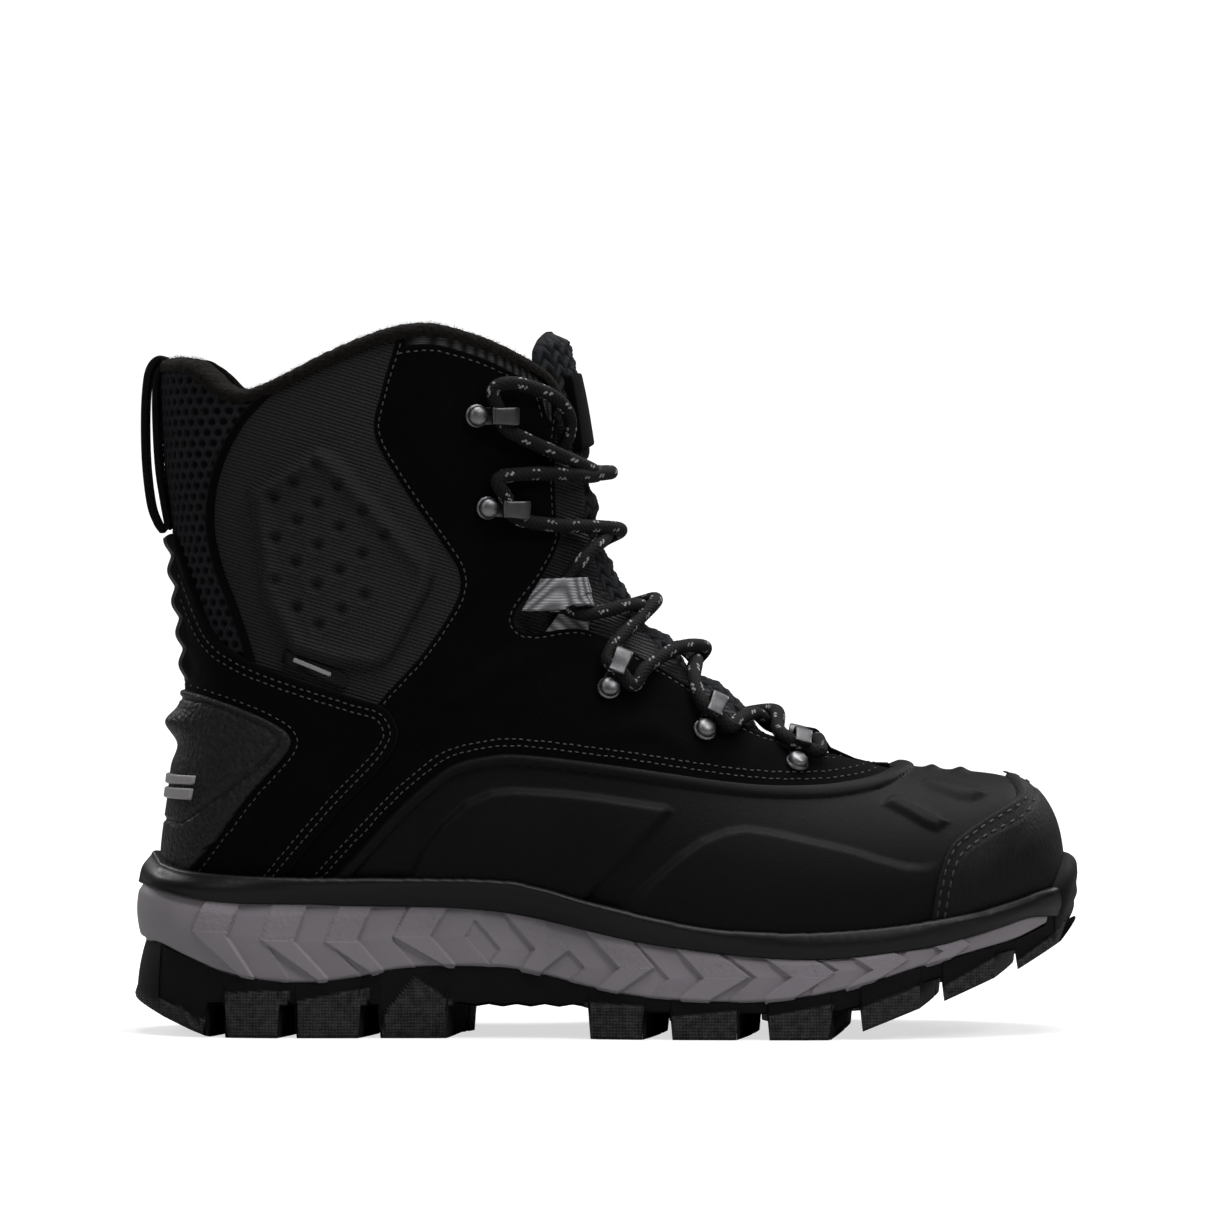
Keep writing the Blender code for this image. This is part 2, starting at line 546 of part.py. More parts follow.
def build_inside(mats, cutters):
    """Lining, padding and the stiffeners of toe and heel."""
    throat_outline = [(82, 70), (52, 78), (20, 103), (-2, 124), (-15, 146), (-24, 160), (-34, 178),
                      (-36, 196), (-37, 216), (-38, 236), (-38, 260), (40, 260), (40, 165), (70, 130),
                      (95, 110)]
    throat = prism("throat", throat_outline, MIDLINE - 29, MIDLINE + 29)
    everywhere = [(-175, 10), (-175, 260), (175, 260), (175, 10)]
    lining = skin("bootie_lining", (lambda u: -depth(u), lambda u: LINING_WALL - depth(u)), everywhere,
                  mats["lining"], cutters)
    foam_outline = [(-175, 104), (-140, 104), (-60, 128), (-10, 158), (30, 190), (30, 260), (-175, 260)]
    foam_span = (lambda u: LINING_WALL + GAP - depth(u), -0.3)
    foam = skin("collar_foam", foam_span, foam_outline, mats["padding"], cutters)
    for obj in (lining, foam):
        cut(obj, throat, "DIFFERENCE")
    puff = [(108, 120), (96, 25), (170, 25), (170, 120)]
    skin("toe_puff", (-2.2, -0.3), puff, mats["stiffener"], cutters)
    cup = [(-175, 40), (-175, 98), (-128, 98), (-96, 54), (-96, 40)]
    skin("heel_stiffener", (-3.3, -0.3), cup, mats["stiffener"], cutters)


def build_sole(mats):
    """Midsole, outsole with its toe wall, foxing strip, boards, footbed and shank."""
    bottom = list(map(tuple, spline(MIDSOLE_BOTTOM, 34)))
    end = TOE_WALL_X - 0.4
    low = [(x, z) for x, z in bottom if x < end - 0.5] + [(end, MIDSOLE_BOTTOM[-1][1])]
    midsole = plan_block("midsole", SOLE_BACK + 1.7, SOLE_TIP - 0.6, SOLE_WELT - 1.0, 5, 70, mats["foam"])
    top = [(x, z) for x, z in floor_line(-1.2 - GAP) if x < end] + [(end, feather_z(end) - 1.2 - GAP)]
    cut(midsole, prism("midsole_side", low + top[::-1]), "INTERSECT")

    outsole = plan_block("outsole", SOLE_BACK, SOLE_TIP, SOLE_WELT, -5, 60, mats["rubber"])
    edge = [(x, z - GAP) for x, z in low]
    edge += [(TOE_WALL_X, low[-1][1] - GAP), (TOE_WALL_X, TOE_WALL_TOP), (175, TOE_WALL_TOP)]
    ground = [(175, 44.5)] + GROUND[::-1] + [(-175, 20)]
    cut(outsole, prism("outsole_side", edge + ground), "INTERSECT")
    for i, groove in enumerate(GROOVES):
        cut(outsole, swept_groove(f"groove_{i}", groove), "DIFFERENCE")
    for i, place in enumerate(CHANNELS):
        cut(outsole, channel(f"channel_{i}", MIDLINE + place), "DIFFERENCE")
    wall = panel("toe_wall", BUMPER, BUMPER_SIDE, None)
    cut(outsole, wall, "UNION")

    rand = list(map(tuple, spline(RAND_TOP, 22)))
    rand = [(x, z) for x, z in rand if x < 143] + [(143.2, 48.6)]
    floor = [(143.2, 42.5)] + floor_line(-1.2)[::-1][1:]
    panel("foxing_strip", RAND, rand + floor, mats["rubber"])

    board = [(x, feather_z(x)) for x in np.linspace(-150, 150, 18)]
    raised = {"insole_board": (0.8, 2.6, -138.0, 140.5, -8.0, "board"),
              "footbed": (3.0, 7.5, -135.5, 138.0, -9.0, "padding")}
    for name, (low_lift, high_lift, back, tip, extra, mat) in raised.items():
        obj = plan_block(name, back, tip, extra, 0, 90, mats[mat], steps=16)
        slab = [(x, z + low_lift) for x, z in board] + [(x, z + high_lift) for x, z in board[::-1]]
        cut(obj, prism(name + "_side", slab), "INTERSECT")
    strip_line = [(x, feather_z(x)) for x in np.linspace(-78, 30, 8)]
    slab = [(x, z - 1.2) for x, z in strip_line] + [(x, z + 0.5) for x, z in strip_line[::-1]]
    prism("shank", slab, MIDLINE - 10, MIDLINE + 10, mats["steel"])


def swept_groove(name, outline):
    """A groove across the sole: its outline at both edges, and further forward in the middle."""
    bm = bmesh.new()
    places = ((-75, -6.0), (MIDLINE, GROOVE_SWEEP), (75, -6.0))
    rows = [[bm.verts.new((x + shift, y, z)) for x, z in outline] for y, shift in places]
    bm.faces.new(rows[0])
    bm.faces.new(rows[-1])
    for near, far in zip(rows, rows[1:]):
        for i in range(len(outline)):
            j = (i + 1) % len(outline)
            bm.faces.new((near[i], near[j], far[j], far[i]))
    return add_object(name, bm)


def channel(name, y):
    """A channel along the sole that narrows upwards."""
    bm = bmesh.new()
    low, high = CHANNEL_HALF_WIDTHS
    rows = [[bm.verts.new((x, y + a, z)) for a, z in ((-low, -12), (low, -12), (high, top), (-high, top))]
            for x, top in CHANNEL_DEPTH]
    bm.faces.new(rows[0])
    bm.faces.new(rows[-1])
    for near, far in zip(rows, rows[1:]):
        for i in range(4):
            j = (i + 1) % 4
            bm.faces.new((near[i], near[j], far[j], far[i]))
    return add_object(name, bm)


def tongue_piece(name, u_from, u_to, steps, span, half_width, mat):
    """A pad on the front of the lasted surface; half_width gives its half width at a rib."""
    bm = bmesh.new()
    across = 6
    rows = []
    for u in np.linspace(u_from, u_to, steps):
        half = half_width(u)
        rows.append([bm.verts.new(surface_at_width(u, half * j / (across / 2))) for j in range(-3, 4)])
    for low, high in zip(rows, rows[1:]):
        for j in range(across):
            bm.faces.new((low[j], low[j + 1], high[j + 1], high[j]))
    bm.normal_update()
    flip = outward(bm)
    solid = thicken(bm, *([flip * distance] * (steps * (across + 1)) for distance in span))
    return add_object(name, solid, mat)


def build_tongue(mats):
    """The sewn-in lower tongue, the free upper one, and the patch on its top."""
    def half_width(u):
        return float(np.interp(u, (5.7, 6.4, 12.6, 13.2, 14.2), (9.0, 17.0, 17.0, 24.0, 26.0)))

    span = (-1.8 - TONGUE_THICKNESS, -1.8)
    tongue_piece("tongue_lower", 5.8, TONGUE_SPLIT_RIB - 0.06, 9, span, half_width, mats["textile"])
    tongue_piece("tongue_upper", TONGUE_SPLIT_RIB + 0.06, TONGUE_TOP_RIB, 10, span, half_width,
                 mats["textile"])
    tongue_piece("tongue_cap", 12.3, 13.35, 3, (-1.4, -0.2), lambda u: 14.0, mats["suede"])


def build_hook(side_name, side, number, place, width, mats):
    """A lace hook bent from strip, and the rivet that holds it."""
    here, normal, forward = frame_at(*place, side)
    origin = here + normal * (SKIN[1] + GAP)
    extruded(f"hook_{side_name}_{number}", HOOK_PROFILE, origin, forward, normal, width, mats["metal"])
    bm = bmesh.new()
    sides = 12
    across = forward.cross(normal)
    rings = []
    for radius, height in ((RIVET_RADIUS, 1.5), (RIVET_RADIUS, 2.0), (RIVET_RADIUS * 0.6, 2.9)):
        centre = origin - forward * 0.2 + normal * height
        turns = [2 * math.pi * i / sides for i in range(sides)]
        rings.append([bm.verts.new(centre + (forward * math.cos(a) + across * math.sin(a)) * radius)
                      for a in turns])
    bm.faces.new(rings[0])
    bm.faces.new(rings[-1])
    for low, high in zip(rings, rings[1:]):
        for i in range(sides):
            j = (i + 1) % sides
            bm.faces.new((low[i], low[j], high[j], high[i]))
    add_object(f"rivet_{side_name}_{number}", bm, mats["metal"])


def build_lacing(mats):
    """Hooks, webbing loops, lace, aglets and the tab at the foot of the throat."""
    for side_name, side in (("lateral", -1), ("medial", 1)):
        for number, (place, width) in enumerate(zip(HOOKS, HOOK_WIDTHS), 1):
            build_hook(side_name, side, number, place, width, mats)
        here, normal, forward = frame_at(*WEBBING_PLACE, side)
        origin = here + normal * (SKIN[1] + GAP)
        extruded("webbing_loop_" + side_name, WEBBING_PROFILE, origin, forward, normal, WEBBING_WIDTH,
                 mats["grey_webbing"])
    lower = [(x, midline(x) - w, z) for x, w, z, _, _ in LACE_HALF[1:]]
    upper = [(x + dx, midline(x) + w, z + dz) for x, w, z, dx, dz in LACE_HALF]
    tube("lace", upper[::-1] + lower, LACE_RADIUS, mats["lace"])
    for name, end in (("aglet_lateral", lower[-1]), ("aglet_medial", upper[-1])):
        base = Vector(end) + Vector((0, 0, GAP))
        tube(name, [base, base + Vector((0, 0, AGLET_LENGTH))], AGLET_RADIUS, mats["aglet"])
    keeper = [(95, 89.5), (95.5, 91.4), (87, 96.2), (80, 98.2), (75.5, 99.5), (73.5, 101.4), (71, 102.4),
              (67.6, 102.4), (65, 101), (64, 98.5), (64.6, 95.6), (66.0, 96.2), (65.6, 98.4), (66.3, 100),
              (68, 100.9), (70.7, 100.9), (72.3, 99.9), (73.2, 97.6), (79, 96.2), (86, 94.2)]
    middle = midline(75)
    prism("throat_keeper", keeper, middle - 7, middle + 7, mats["suede"])


def tube(name, points, radius, mat):
    """A round cord through points in mm."""
    curve = bpy.data.curves.new(name, "CURVE")
    curve.dimensions = "3D"
    curve.bevel_depth = radius * MM
    curve.bevel_resolution = 2
    curve.use_fill_caps = True
    curve.materials.append(mat)
    line = curve.splines.new("POLY")
    line.points.add(len(points) - 1)
    for point, place in zip(line.points, points):
        point.co = (*(MM * c for c in place), 1)
    obj = bpy.data.objects.new(name, curve)
    bpy.context.scene.collection.objects.link(obj)
    return obj


def build_pull_loop(mats):
    """A strap that stands off the back of the knit and is sewn down at both its ends."""
    line = spline([(-148.6, 226.6), (-152.0, 225.8), (-155.2, 221), (-156.1, 208), (-155.9, 192),
                   (-153.9, 178), (-150.8, 169.5)], 13)
    half = PULL_LOOP_THICKNESS / 2
    edges = list(zip(shifted(line, -half), shifted(line, half)))
    low, high = MIDLINE - PULL_LOOP_WIDTH / 2, MIDLINE + PULL_LOOP_WIDTH / 2
    bm = bmesh.new()
    rows = [[bm.verts.new((a[0], low, a[1])), bm.verts.new((a[0], high, a[1])),
             bm.verts.new((b[0], high, b[1])), bm.verts.new((b[0], low, b[1]))] for a, b in edges]
    bm.faces.new(rows[0])
    bm.faces.new(rows[-1])
    for near, far in zip(rows, rows[1:]):
        for i in range(4):
            j = (i + 1) % 4
            bm.faces.new((near[i], near[j], far[j], far[i]))
    add_object("pull_loop", bm, mats["webbing"])


def clear_scene():
    """Removes everything that a new file starts with."""
    for obj in list(bpy.data.objects):
        bpy.data.objects.remove(obj, do_unlink=True)


def main():
    clear_scene()
    mats = materials()
    cutters = skin_cutters()
    build_sole(mats)
    build_inside(mats, cutters)
    build_skins(mats, cutters)
    build_overlays(mats, cutters)
    build_tongue(mats)
    build_lacing(mats)
    build_pull_loop(mats)


main()
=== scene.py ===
"""The looks of the right hiking boot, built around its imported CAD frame.

Lengths are in mm until a mesh is made.
"""

import math

import bmesh
import bpy
import numpy as np
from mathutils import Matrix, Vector


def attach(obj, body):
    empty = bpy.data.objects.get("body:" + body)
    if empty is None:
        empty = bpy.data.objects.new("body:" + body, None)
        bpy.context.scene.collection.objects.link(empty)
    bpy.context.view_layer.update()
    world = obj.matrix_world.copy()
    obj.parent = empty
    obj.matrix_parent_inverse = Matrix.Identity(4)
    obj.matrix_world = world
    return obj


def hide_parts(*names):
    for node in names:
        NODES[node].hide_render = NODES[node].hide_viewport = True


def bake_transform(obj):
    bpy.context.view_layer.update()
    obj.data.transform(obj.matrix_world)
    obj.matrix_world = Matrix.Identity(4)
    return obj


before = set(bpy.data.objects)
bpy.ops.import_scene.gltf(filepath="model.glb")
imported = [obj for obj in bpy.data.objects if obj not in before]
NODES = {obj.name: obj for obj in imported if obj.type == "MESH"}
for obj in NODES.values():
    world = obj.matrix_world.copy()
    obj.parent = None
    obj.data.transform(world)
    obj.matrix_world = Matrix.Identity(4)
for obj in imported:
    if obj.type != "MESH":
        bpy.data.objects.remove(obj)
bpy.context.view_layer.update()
SIDES = {"lateral": -1, "medial": 1}
MIDLINE = -3.35

# The lasted surface: ribs in the side view (front x, z, back x, z), half width, and where it is widest.
RIBS = np.array([
    (148.0, 42.0, 148.0, 41.5, 3.0, 0.86), (148.8, 54.0, 140.5, 41.5, 24.5, 0.86),
    (147.0, 67.5, 132.0, 39.0, 32.5, 0.84), (142.0, 77.5, 120.0, 35.5, 39.5, 0.82),
    (131.5, 82.5, 104.5, 32.0, 45.0, 0.80), (97.0, 86.5, 64.0, 28.5, 49.0, 0.80),
    (61.5, 97.5, 14.0, 33.5, 47.5, 0.80), (35.0, 119.0, -37.0, 44.0, 43.5, 0.76),
    (14.0, 139.0, -91.0, 46.0, 40.5, 0.70), (3.5, 152.0, -131.0, 48.0, 39.5, 0.66),
    (1.0, 158.0, -144.7, 53.0, 39.5, 0.64), (-3.0, 175.0, -142.5, 83.0, 39.5, 0.60),
    (-5.7, 194.0, -138.5, 117.0, 41.0, 0.56), (-9.0, 214.0, -142.5, 155.0, 43.0, 0.52),
    (-13.5, 233.0, -147.5, 197.5, 45.0, 0.50), (-17.0, 246.5, -149.0, 246.5, 46.5, 0.50),
])
HEEL_RIB = 10
POWER = 2.15
UPPER_BACK, UPPER_TIP = -144.7, 148
SOLE_BACK, SOLE_TIP, SOLE_EXTRA = -157.2, 158.0, 8.0
TREAD_BACK, TREAD_TIP, TREAD_EXTRA = -158.9, 158.6, 9.0
COLLAR_BACK = -148.6
# Half width of the sole's edge along x, and how deep the lining lies under the surface along the ribs.
FEATHER_WIDTHS = [(-150, 33.0), (-100, 33.5), (-60, 33.0), (-20, 35.0), (14, 42.5), (64, 48.0), (150, 48.0)]
LINING_DEPTH = [(0, 3.5), (5, 3.5), (8, 4.6), (10, 5.2), (11, 7.0), (12.5, 9.0), (15, 9.0)]

# Outlines in the side view.
COLLAR = [(-16.0, 209), (-18.5, 217), (-24, 222.5), (-36, 229), (-47, 233), (-58, 235.4), (-69, 234.5),
          (-80, 231), (-92, 226), (-103, 220.5), (-113, 215.8), (-121, 213.6), (-128, 216), (-134, 221),
          (-141, 224.5), (-156, 225)]
SUEDE_REAR = [(-67.5, 240), (-71, 228), (-75, 214), (-77, 200), (-68, 183), (-55, 164), (-49.5, 154),
              (-51, 144), (-62, 127), (-77, 110), (-90, 90), (-104, 66), (-110, 38)]
PIPING = [(-108, 222), (-112.5, 214), (-120, 206), (-126.5, 195), (-130.5, 183), (-131.5, 170), (-129, 157),
          (-125, 146), (-120, 132), (-117, 120), (-114, 100), (-116, 70), (-120, 38)]
EYESTAY = [(-16.0, 214), (-18, 200), (-18.2, 186), (-17.5, 172), (-16.5, 165), (-22, 153), (-30.5, 141),
           (-30, 136), (-24, 134), (-8, 135), (11, 125.5), (28, 115), (46, 102), (60, 96.5), (72, 92.6),
           (77, 92.2), (79, 95)]
SHELL_TOP = [(-94.5, 50), (-81, 64), (-68, 77.5), (-58, 86), (-51, 90.5), (-41, 93), (-28, 93.6), (4, 89.5),
             (43, 83), (63, 81.3), (78, 81.8), (92, 84.5), (106, 92)]
BAND_TOP = [(-160, 169), (-144, 168), (-137.5, 154.5), (-129.5, 135), (-121, 127), (-108, 121),
            (-86, 113.5), (-74, 109.5), (-69.5, 101), (-74, 91), (-90, 74), (-112, 48)]
COUNTER_EDGE = [(-160, 116), (-141, 115.5), (-124, 110.5), (-111, 105), (-104.5, 100), (-105.5, 94),
                (-118, 79), (-140, 49)]
TOE_CAP_EDGE = [(124, 95), (130, 86), (136, 79.5), (134, 75), (121, 67.5), (112.5, 61), (108, 50),
                (105.5, 36)]
RAND_TOP = [(-165, 61), (-149, 60.2), (-141, 56.2), (-130, 54), (-101, 52.8), (-42, 52.6), (-22, 50.2),
            (-2, 44.6), (30, 37.2), (57, 35), (80, 35.7), (103, 38.2), (123, 42.4), (146, 49.6)]
MIDSOLE_BOTTOM = [(-165, 33.5), (-151, 31), (-141, 27), (-128, 22), (-114, 19.2), (-98, 18.5), (-85, 20),
                  (-68, 23.2), (-52, 24), (-35, 23.8), (-20, 21), (-2, 16.5), (14, 13.9), (37, 12.6),
                  (57, 13.2), (80, 17.2), (103, 23.8), (123, 29.0), (136, 32.5), (141, 34.5), (146.6, 37.0)]
GROUND = [(-162, 14), (-157, 11), (-148, 6.5), (-138, 2.2), (-132, 0), (74, 0), (84, 2.6), (104, 10.4),
          (112, 12.6), (128.7, 19.8), (137, 22.5), (152, 31), (162, 42)]
BUMPER = [(142.6, 44), (143.8, 50), (147.0, 57), (150.0, 62.6), (153, 64.6), (175, 65.5), (175, 30),
          (147.1, 30), (146.6, 37)]
SWELL_REAR = [(-66.7, 52.8), (-61.7, 62.7), (-55.1, 71.0), (-46.9, 78.2), (-38.6, 81.8), (-30.4, 82.5),
              (-15.5, 81.5), (-2.3, 79.9), (10.9, 77.6), (19.1, 76.2), (21.8, 74.3), (10.9, 62.7),
              (-2.3, 50), (-20, 30), (-70, 30)]
SWELL_FRONT = [(-8, 30), (7.6, 46.2), (14.2, 52.8), (24.1, 61.1), (30.7, 65.4), (38.9, 68.3), (45.5, 69.0),
               (53.8, 67.7), (63.7, 65.4), (80.2, 61.7), (90.1, 58.8), (98.3, 56.8), (104, 56.6), (112, 59),
               (140, 60), (140, 20), (-8, 20)]
TOE_PADS = [[(103.3, 80.2), (106.6, 82.2), (111.5, 81.8), (119.8, 80.2), (128.4, 77.6), (125.7, 75.9),
             (121.4, 74.6), (116.5, 75.2), (108.2, 77.9)],
            [(90.1, 74.3), (92.7, 76.9), (95.7, 77.9), (101.6, 75.9), (109.9, 72.0), (114.2, 68.7),
             (109.2, 65.7), (104.9, 67.0), (98.3, 70.6)]]
COUNTER_GROOVE = [(-150, 112.4), (-140.2, 112.2), (-129.4, 110.6), (-119.5, 106.6), (-111.2, 102.6),
                  (-107.6, 99.3), (-108.2, 96.4), (-113.9, 89.8), (-134.3, 73.3), (-138.3, 70.3),
                  (-152, 71.8)]
HEXAGON = [(-119.5, 181.5), (-113.9, 185.8), (-101.3, 193.7), (-95.7, 196.0), (-90.8, 194.7),
           (-86.5, 190.4), (-58.4, 158.4), (-57.2, 153.5), (-58.4, 148.5), (-70.0, 127.1), (-73, 123.5),
           (-77.5, 121.5), (-91.4, 122.8), (-104.6, 127.1), (-113.9, 145.2), (-117.8, 178.2)]
DIMPLES = [(-96.4, 190.4), (-103.6, 184.5), (-89.1, 183.2), (-109.9, 179.5), (-96.0, 177.2), (-81.2, 174.9),
           (-102.6, 171.6), (-88.8, 169.3), (-74.2, 166.7), (-109.6, 165.7), (-95.7, 163.4), (-81.2, 160.4),
           (-103.0, 157.8), (-88.8, 155.1), (-109.6, 151.8), (-96.0, 150.2), (-80.5, 146.9),
           (-102.6, 142.6), (-88.1, 141.9), (-95.4, 137.0)]
SUEDE_ARCS = [[(-50, 112), (-35.3, 121.5), (-20.5, 127.1), (-8, 129), (-2.3, 127), (3, 121)],
              [(-4.0, 91), (0.3, 98.3), (7.6, 102.0), (15.8, 101.3), (21.4, 96.4), (25, 89)]]
# Raised bands in the side of the midsole: the left and the right edge of each, from top to bottom.
BANDS_REAR = [[[(-133.4, 46), (-137.3, 35.2), (-121, 19.5)], [(-121.3, 46), (-125.7, 33.6), (-117.1, 20)]],
              [[(-110.9, 46), (-114.7, 32.5), (-96, 19)], [(-98.8, 46), (-103.7, 31.9), (-92.7, 20)]],
              [[(-88.3, 46), (-93.6, 31.9), (-76, 20)], [(-76.8, 46), (-82.8, 32.5), (-72.9, 21)]],
              [[(-64.1, 46), (-71.0, 33.6), (-54, 24)], [(-51.5, 46), (-58.4, 33.6), (-50.4, 24.5)]]]
BANDS_FRONT = [[[(-36, 44), (-24.0, 29.7), (-31, 20)], [(-23.5, 43), (-12.4, 29.2), (-24, 20)]],
               [[(-9, 38), (4.1, 23.7), (-4.7, 16)], [(4, 38), (15.7, 23.7), (2, 14)]],
               [[(18.5, 35), (31.7, 20.5), (24.1, 14)], [(31, 33), (47.2, 20.8), (34, 13)]],
               [[(47, 31), (60.7, 20.8), (52, 14)], [(62, 31), (75.2, 22.1), (62, 14)]],
               [[(75, 31), (87.5, 23.1), (79, 17)], [(86, 33), (99.7, 26.4), (88, 19)]],
               [[(99, 36), (110.6, 29.0), (104, 23)], [(109, 37), (120.5, 31.4), (112, 25)]]]
MIDSOLE_TOP = [(-160, 51.2), (-152, 49.6), (-142, 47.3), (-133, 45.9), (-121, 45.1), (-70, 44.8), (-60, 44.4)]
# Lugs of one edge of the tread, in the side view, and the gaps between them.
LUGS = [[(-162, 15), (-150.5, 12.3), (-141.5, 9.5), (-136.8, 5.8), (-132.4, 6.4), (-134.5, -2), (-165, -2)],
        [(-127.1, 14.9), (-105.3, 15.8), (-104.9, 13.9), (-109.2, -2), (-126.2, -2)],
        [(-103.0, 12.2), (-78.9, 16.8), (-78.2, 15.8), (-82.6, -2), (-102.4, -2)],
        [(-64.0, 20.5), (-50.2, 11.2), (-53.6, -2), (-75.2, -2), (-73.6, 9.2)],
        [(-7.9, 12.2), (12.5, 11.2), (11.4, -2), (-5.2, -2)],
        [(19.8, 7.6), (43.9, 9.9), (42.4, -2), (22.0, -2)],
        [(51.2, 7.6), (74.9, 11.9), (73.2, -2), (53.8, -2)],
        [(81.8, 9.9), (104.6, 18.2), (103.2, 6), (84.6, -2)],
        [(110.2, 16.8), (130.0, 27.4), (128.2, 16), (112.0, 8)],
        [(134.5, 24), (150, 34), (164, 44), (164, 30), (138, 20)]]
# Where the hooks' rivets are, from the toe up.
HOOKS = [(62.5, 88.5), (31.5, 100.3), (0.0, 114.9), (-40.6, 175.9), (-44.2, 206.3)]
# One half of the lace from its middle: x, distance from the midline, z, and the
# shift of the other half in x and z.
LACE_HALF = [
    (69.3, 0, 97.2, 0, 0), (71.0, -13, 98.4, 0, 0), (71.2, -23.5, 94.6, 0, 0), (65.8, -23.2, 96.3, 0, 0),
    (60.3, -22.0, 99.2, 0, 0), (57.5, -13, 101.9, 0, 0), (54.3, 0, 103.6, 3.0, 4.0),
    (49.6, 14.5, 107.2, 0, 0), (43.6, 26.5, 105.0, 0, 0), (41.3, 30.8, 103.2, 0, 0),
    (36.6, 30.6, 107.0, 0, 0), (31.8, 30.0, 111.2, 0, 0), (29.2, 23, 118.8, 0, 0),
    (29.9, 12, 124.1, 0, 0), (29.6, 0, 125.6, 3.4, 3.7), (23.8, -15, 129.2, 0, 0),
    (13.2, -29, 122.7, 0, 0), (9.0, -34, 117.0, 0, 0), (4.6, -33.5, 121.2, 0, 0),
    (0.2, -32.5, 125.6, 0, 0), (4.6, -25, 133.0, 0, 0), (11.2, -13, 139.4, 0, 0),
    (12.7, 0, 142.2, 3.8, 3.3), (8.2, 14.5, 143.6, 0, 0), (-5.5, 27, 140.6, 0, 0),
    (-12.6, 30.0, 142.0, 0, 0), (-15.6, 30.9, 146.8, 0, 0), (-12.6, 30.0, 152.2, 0, 0),
    (-7.4, 22.0, 159.6, 0, 0), (-1.6, 12.5, 165.3, 0, 0), (-0.3, 0, 167.8, 4.9, 1.1),
    (-3.8, -14.5, 169.8, 0, 0), (-18.2, -30, 170.2, 0, 0), (-30.3, -38.0, 172.6, 0, 0),
    (-33.3, -39.7, 179.0, 0, 0), (-36.0, -41.2, 185.2, 0, 0), (-26.2, -35.8, 187.2, 0, 0),
    (-11.8, -25.2, 187.2, 0, 0), (-4.7, -13, 187.4, 0, 0), (-3.6, 0, 187.8, 5.0, 0.6),
    (-5.4, 14, 189.2, 0, 0), (-13.2, 26.5, 192.5, 0, 0), (-26.4, 36.8, 198.3, 0, 0),
    (-33.8, 41.0, 202.4, 0, 0), (-36.2, 42.0, 208.8, 0, 0), (-37.8, 42.7, 214.6, 0, 0),
    (-33.4, 42.0, 217.0, 0, 0), (-26.2, 37.3, 216.2, 0, 0), (-17.3, 29.6, 212.6, 0, 0),
    (-12.8, 23.4, 207.0, 0, 0), (-12.9, 21.2, 200.4, 0, 0), (-16.6, 20.4, 193.8, 0, 0),
    (-21.5, 20.2, 188.5, 0, 0), (-28.5, 20.0, 181.5, 0, 0), (-36, 18.5, 170, 0, 0), (-41, 17, 155, 0, 0),
    (-43.5, 16, 138, 0, 0), (-44, 16, 120, 0, 0), (-46, 16, 107, 0, 0), (-51, 16, 101.5, 0, 0),
    (-56, 16, 107, 0, 0), (-57.5, 16, 120, 0, 0), (-57.5, 16, 136, 0, 0),
]
LACE_STEP = 0.45
BRAID_PITCH = 1.9
FLECK_REPEAT, FLECK_LENGTH = 10.5, 3.6
LACE_RADIUS = 2.35
FOLD_POINTS, FOLD_HEIGHT = range(25, 28), 3.4


# Lines and the lasted surface


def catmull(points, t):
    """Points of a smooth curve through the given ones; t counts them."""
    points = np.asarray(points, float)
    padded = np.vstack([2 * points[0] - points[1], points, 2 * points[-1] - points[-2]])
    t = np.asarray(t, float)
    i = np.clip(t.astype(int), 0, len(points) - 2)
    f = (t - i)[..., None]
    a, b, c, d = padded[i], padded[i + 1], padded[i + 2], padded[i + 3]
    return 0.5 * (2 * b + (c - a) * f + (2 * a - 5 * b + 4 * c - d) * f ** 2
                  + (3 * b - a - 3 * c + d) * f ** 3)


def spline(points, steps):
    """A smooth curve through points, as evenly counted steps."""
    return catmull(points, np.linspace(0, len(points) - 1, steps))


def resample(line, spacing):
    """Points at an even distance along a line."""
    line = np.asarray(line, float)
    run = np.concatenate([[0], np.cumsum(np.linalg.norm(np.diff(line, axis=0), axis=1))])
    stops = np.linspace(0, run[-1], max(2, int(run[-1] / spacing) + 1))
    return np.column_stack([np.interp(stops, run, line[:, k]) for k in range(line.shape[1])])


def shifted(line, distance):
    """A line moved to its left where the distance is positive."""
    line = np.asarray(line, float)
    along = unit(np.gradient(line, axis=0))
    return line + distance * np.column_stack([-along[:, 1], along[:, 0]])


def unit(vectors):
    """The same directions with length 1."""
    return vectors / np.linalg.norm(vectors, axis=-1)[..., None]


def smooth(low, high, x):
    """0 at low, 1 at high, with an even ease between them."""
    t = np.clip((x - low) / (high - low), 0, 1)
    return t * t * (3 - 2 * t)


def midline(x):
    """y of the boot's long axis, which turns inwards at the toe."""
    return MIDLINE + 7.5 * smooth(0, 140, x)


def end_round(x, start, end):
    """How the plan narrows from its full width at start to nothing at end."""
    t = np.clip((x - start) / (end - start), 0, 1)
    return (1 - t ** 2.3) ** (1 / 2.3)


def plan_half(x, back, tip, extra):
    """Half width in plan of an outline that lies outside the featherline by extra."""
    return (np.interp(x, *zip(*FEATHER_WIDTHS)) + extra) * end_round(x, -104, back) * end_round(x, 64, tip)


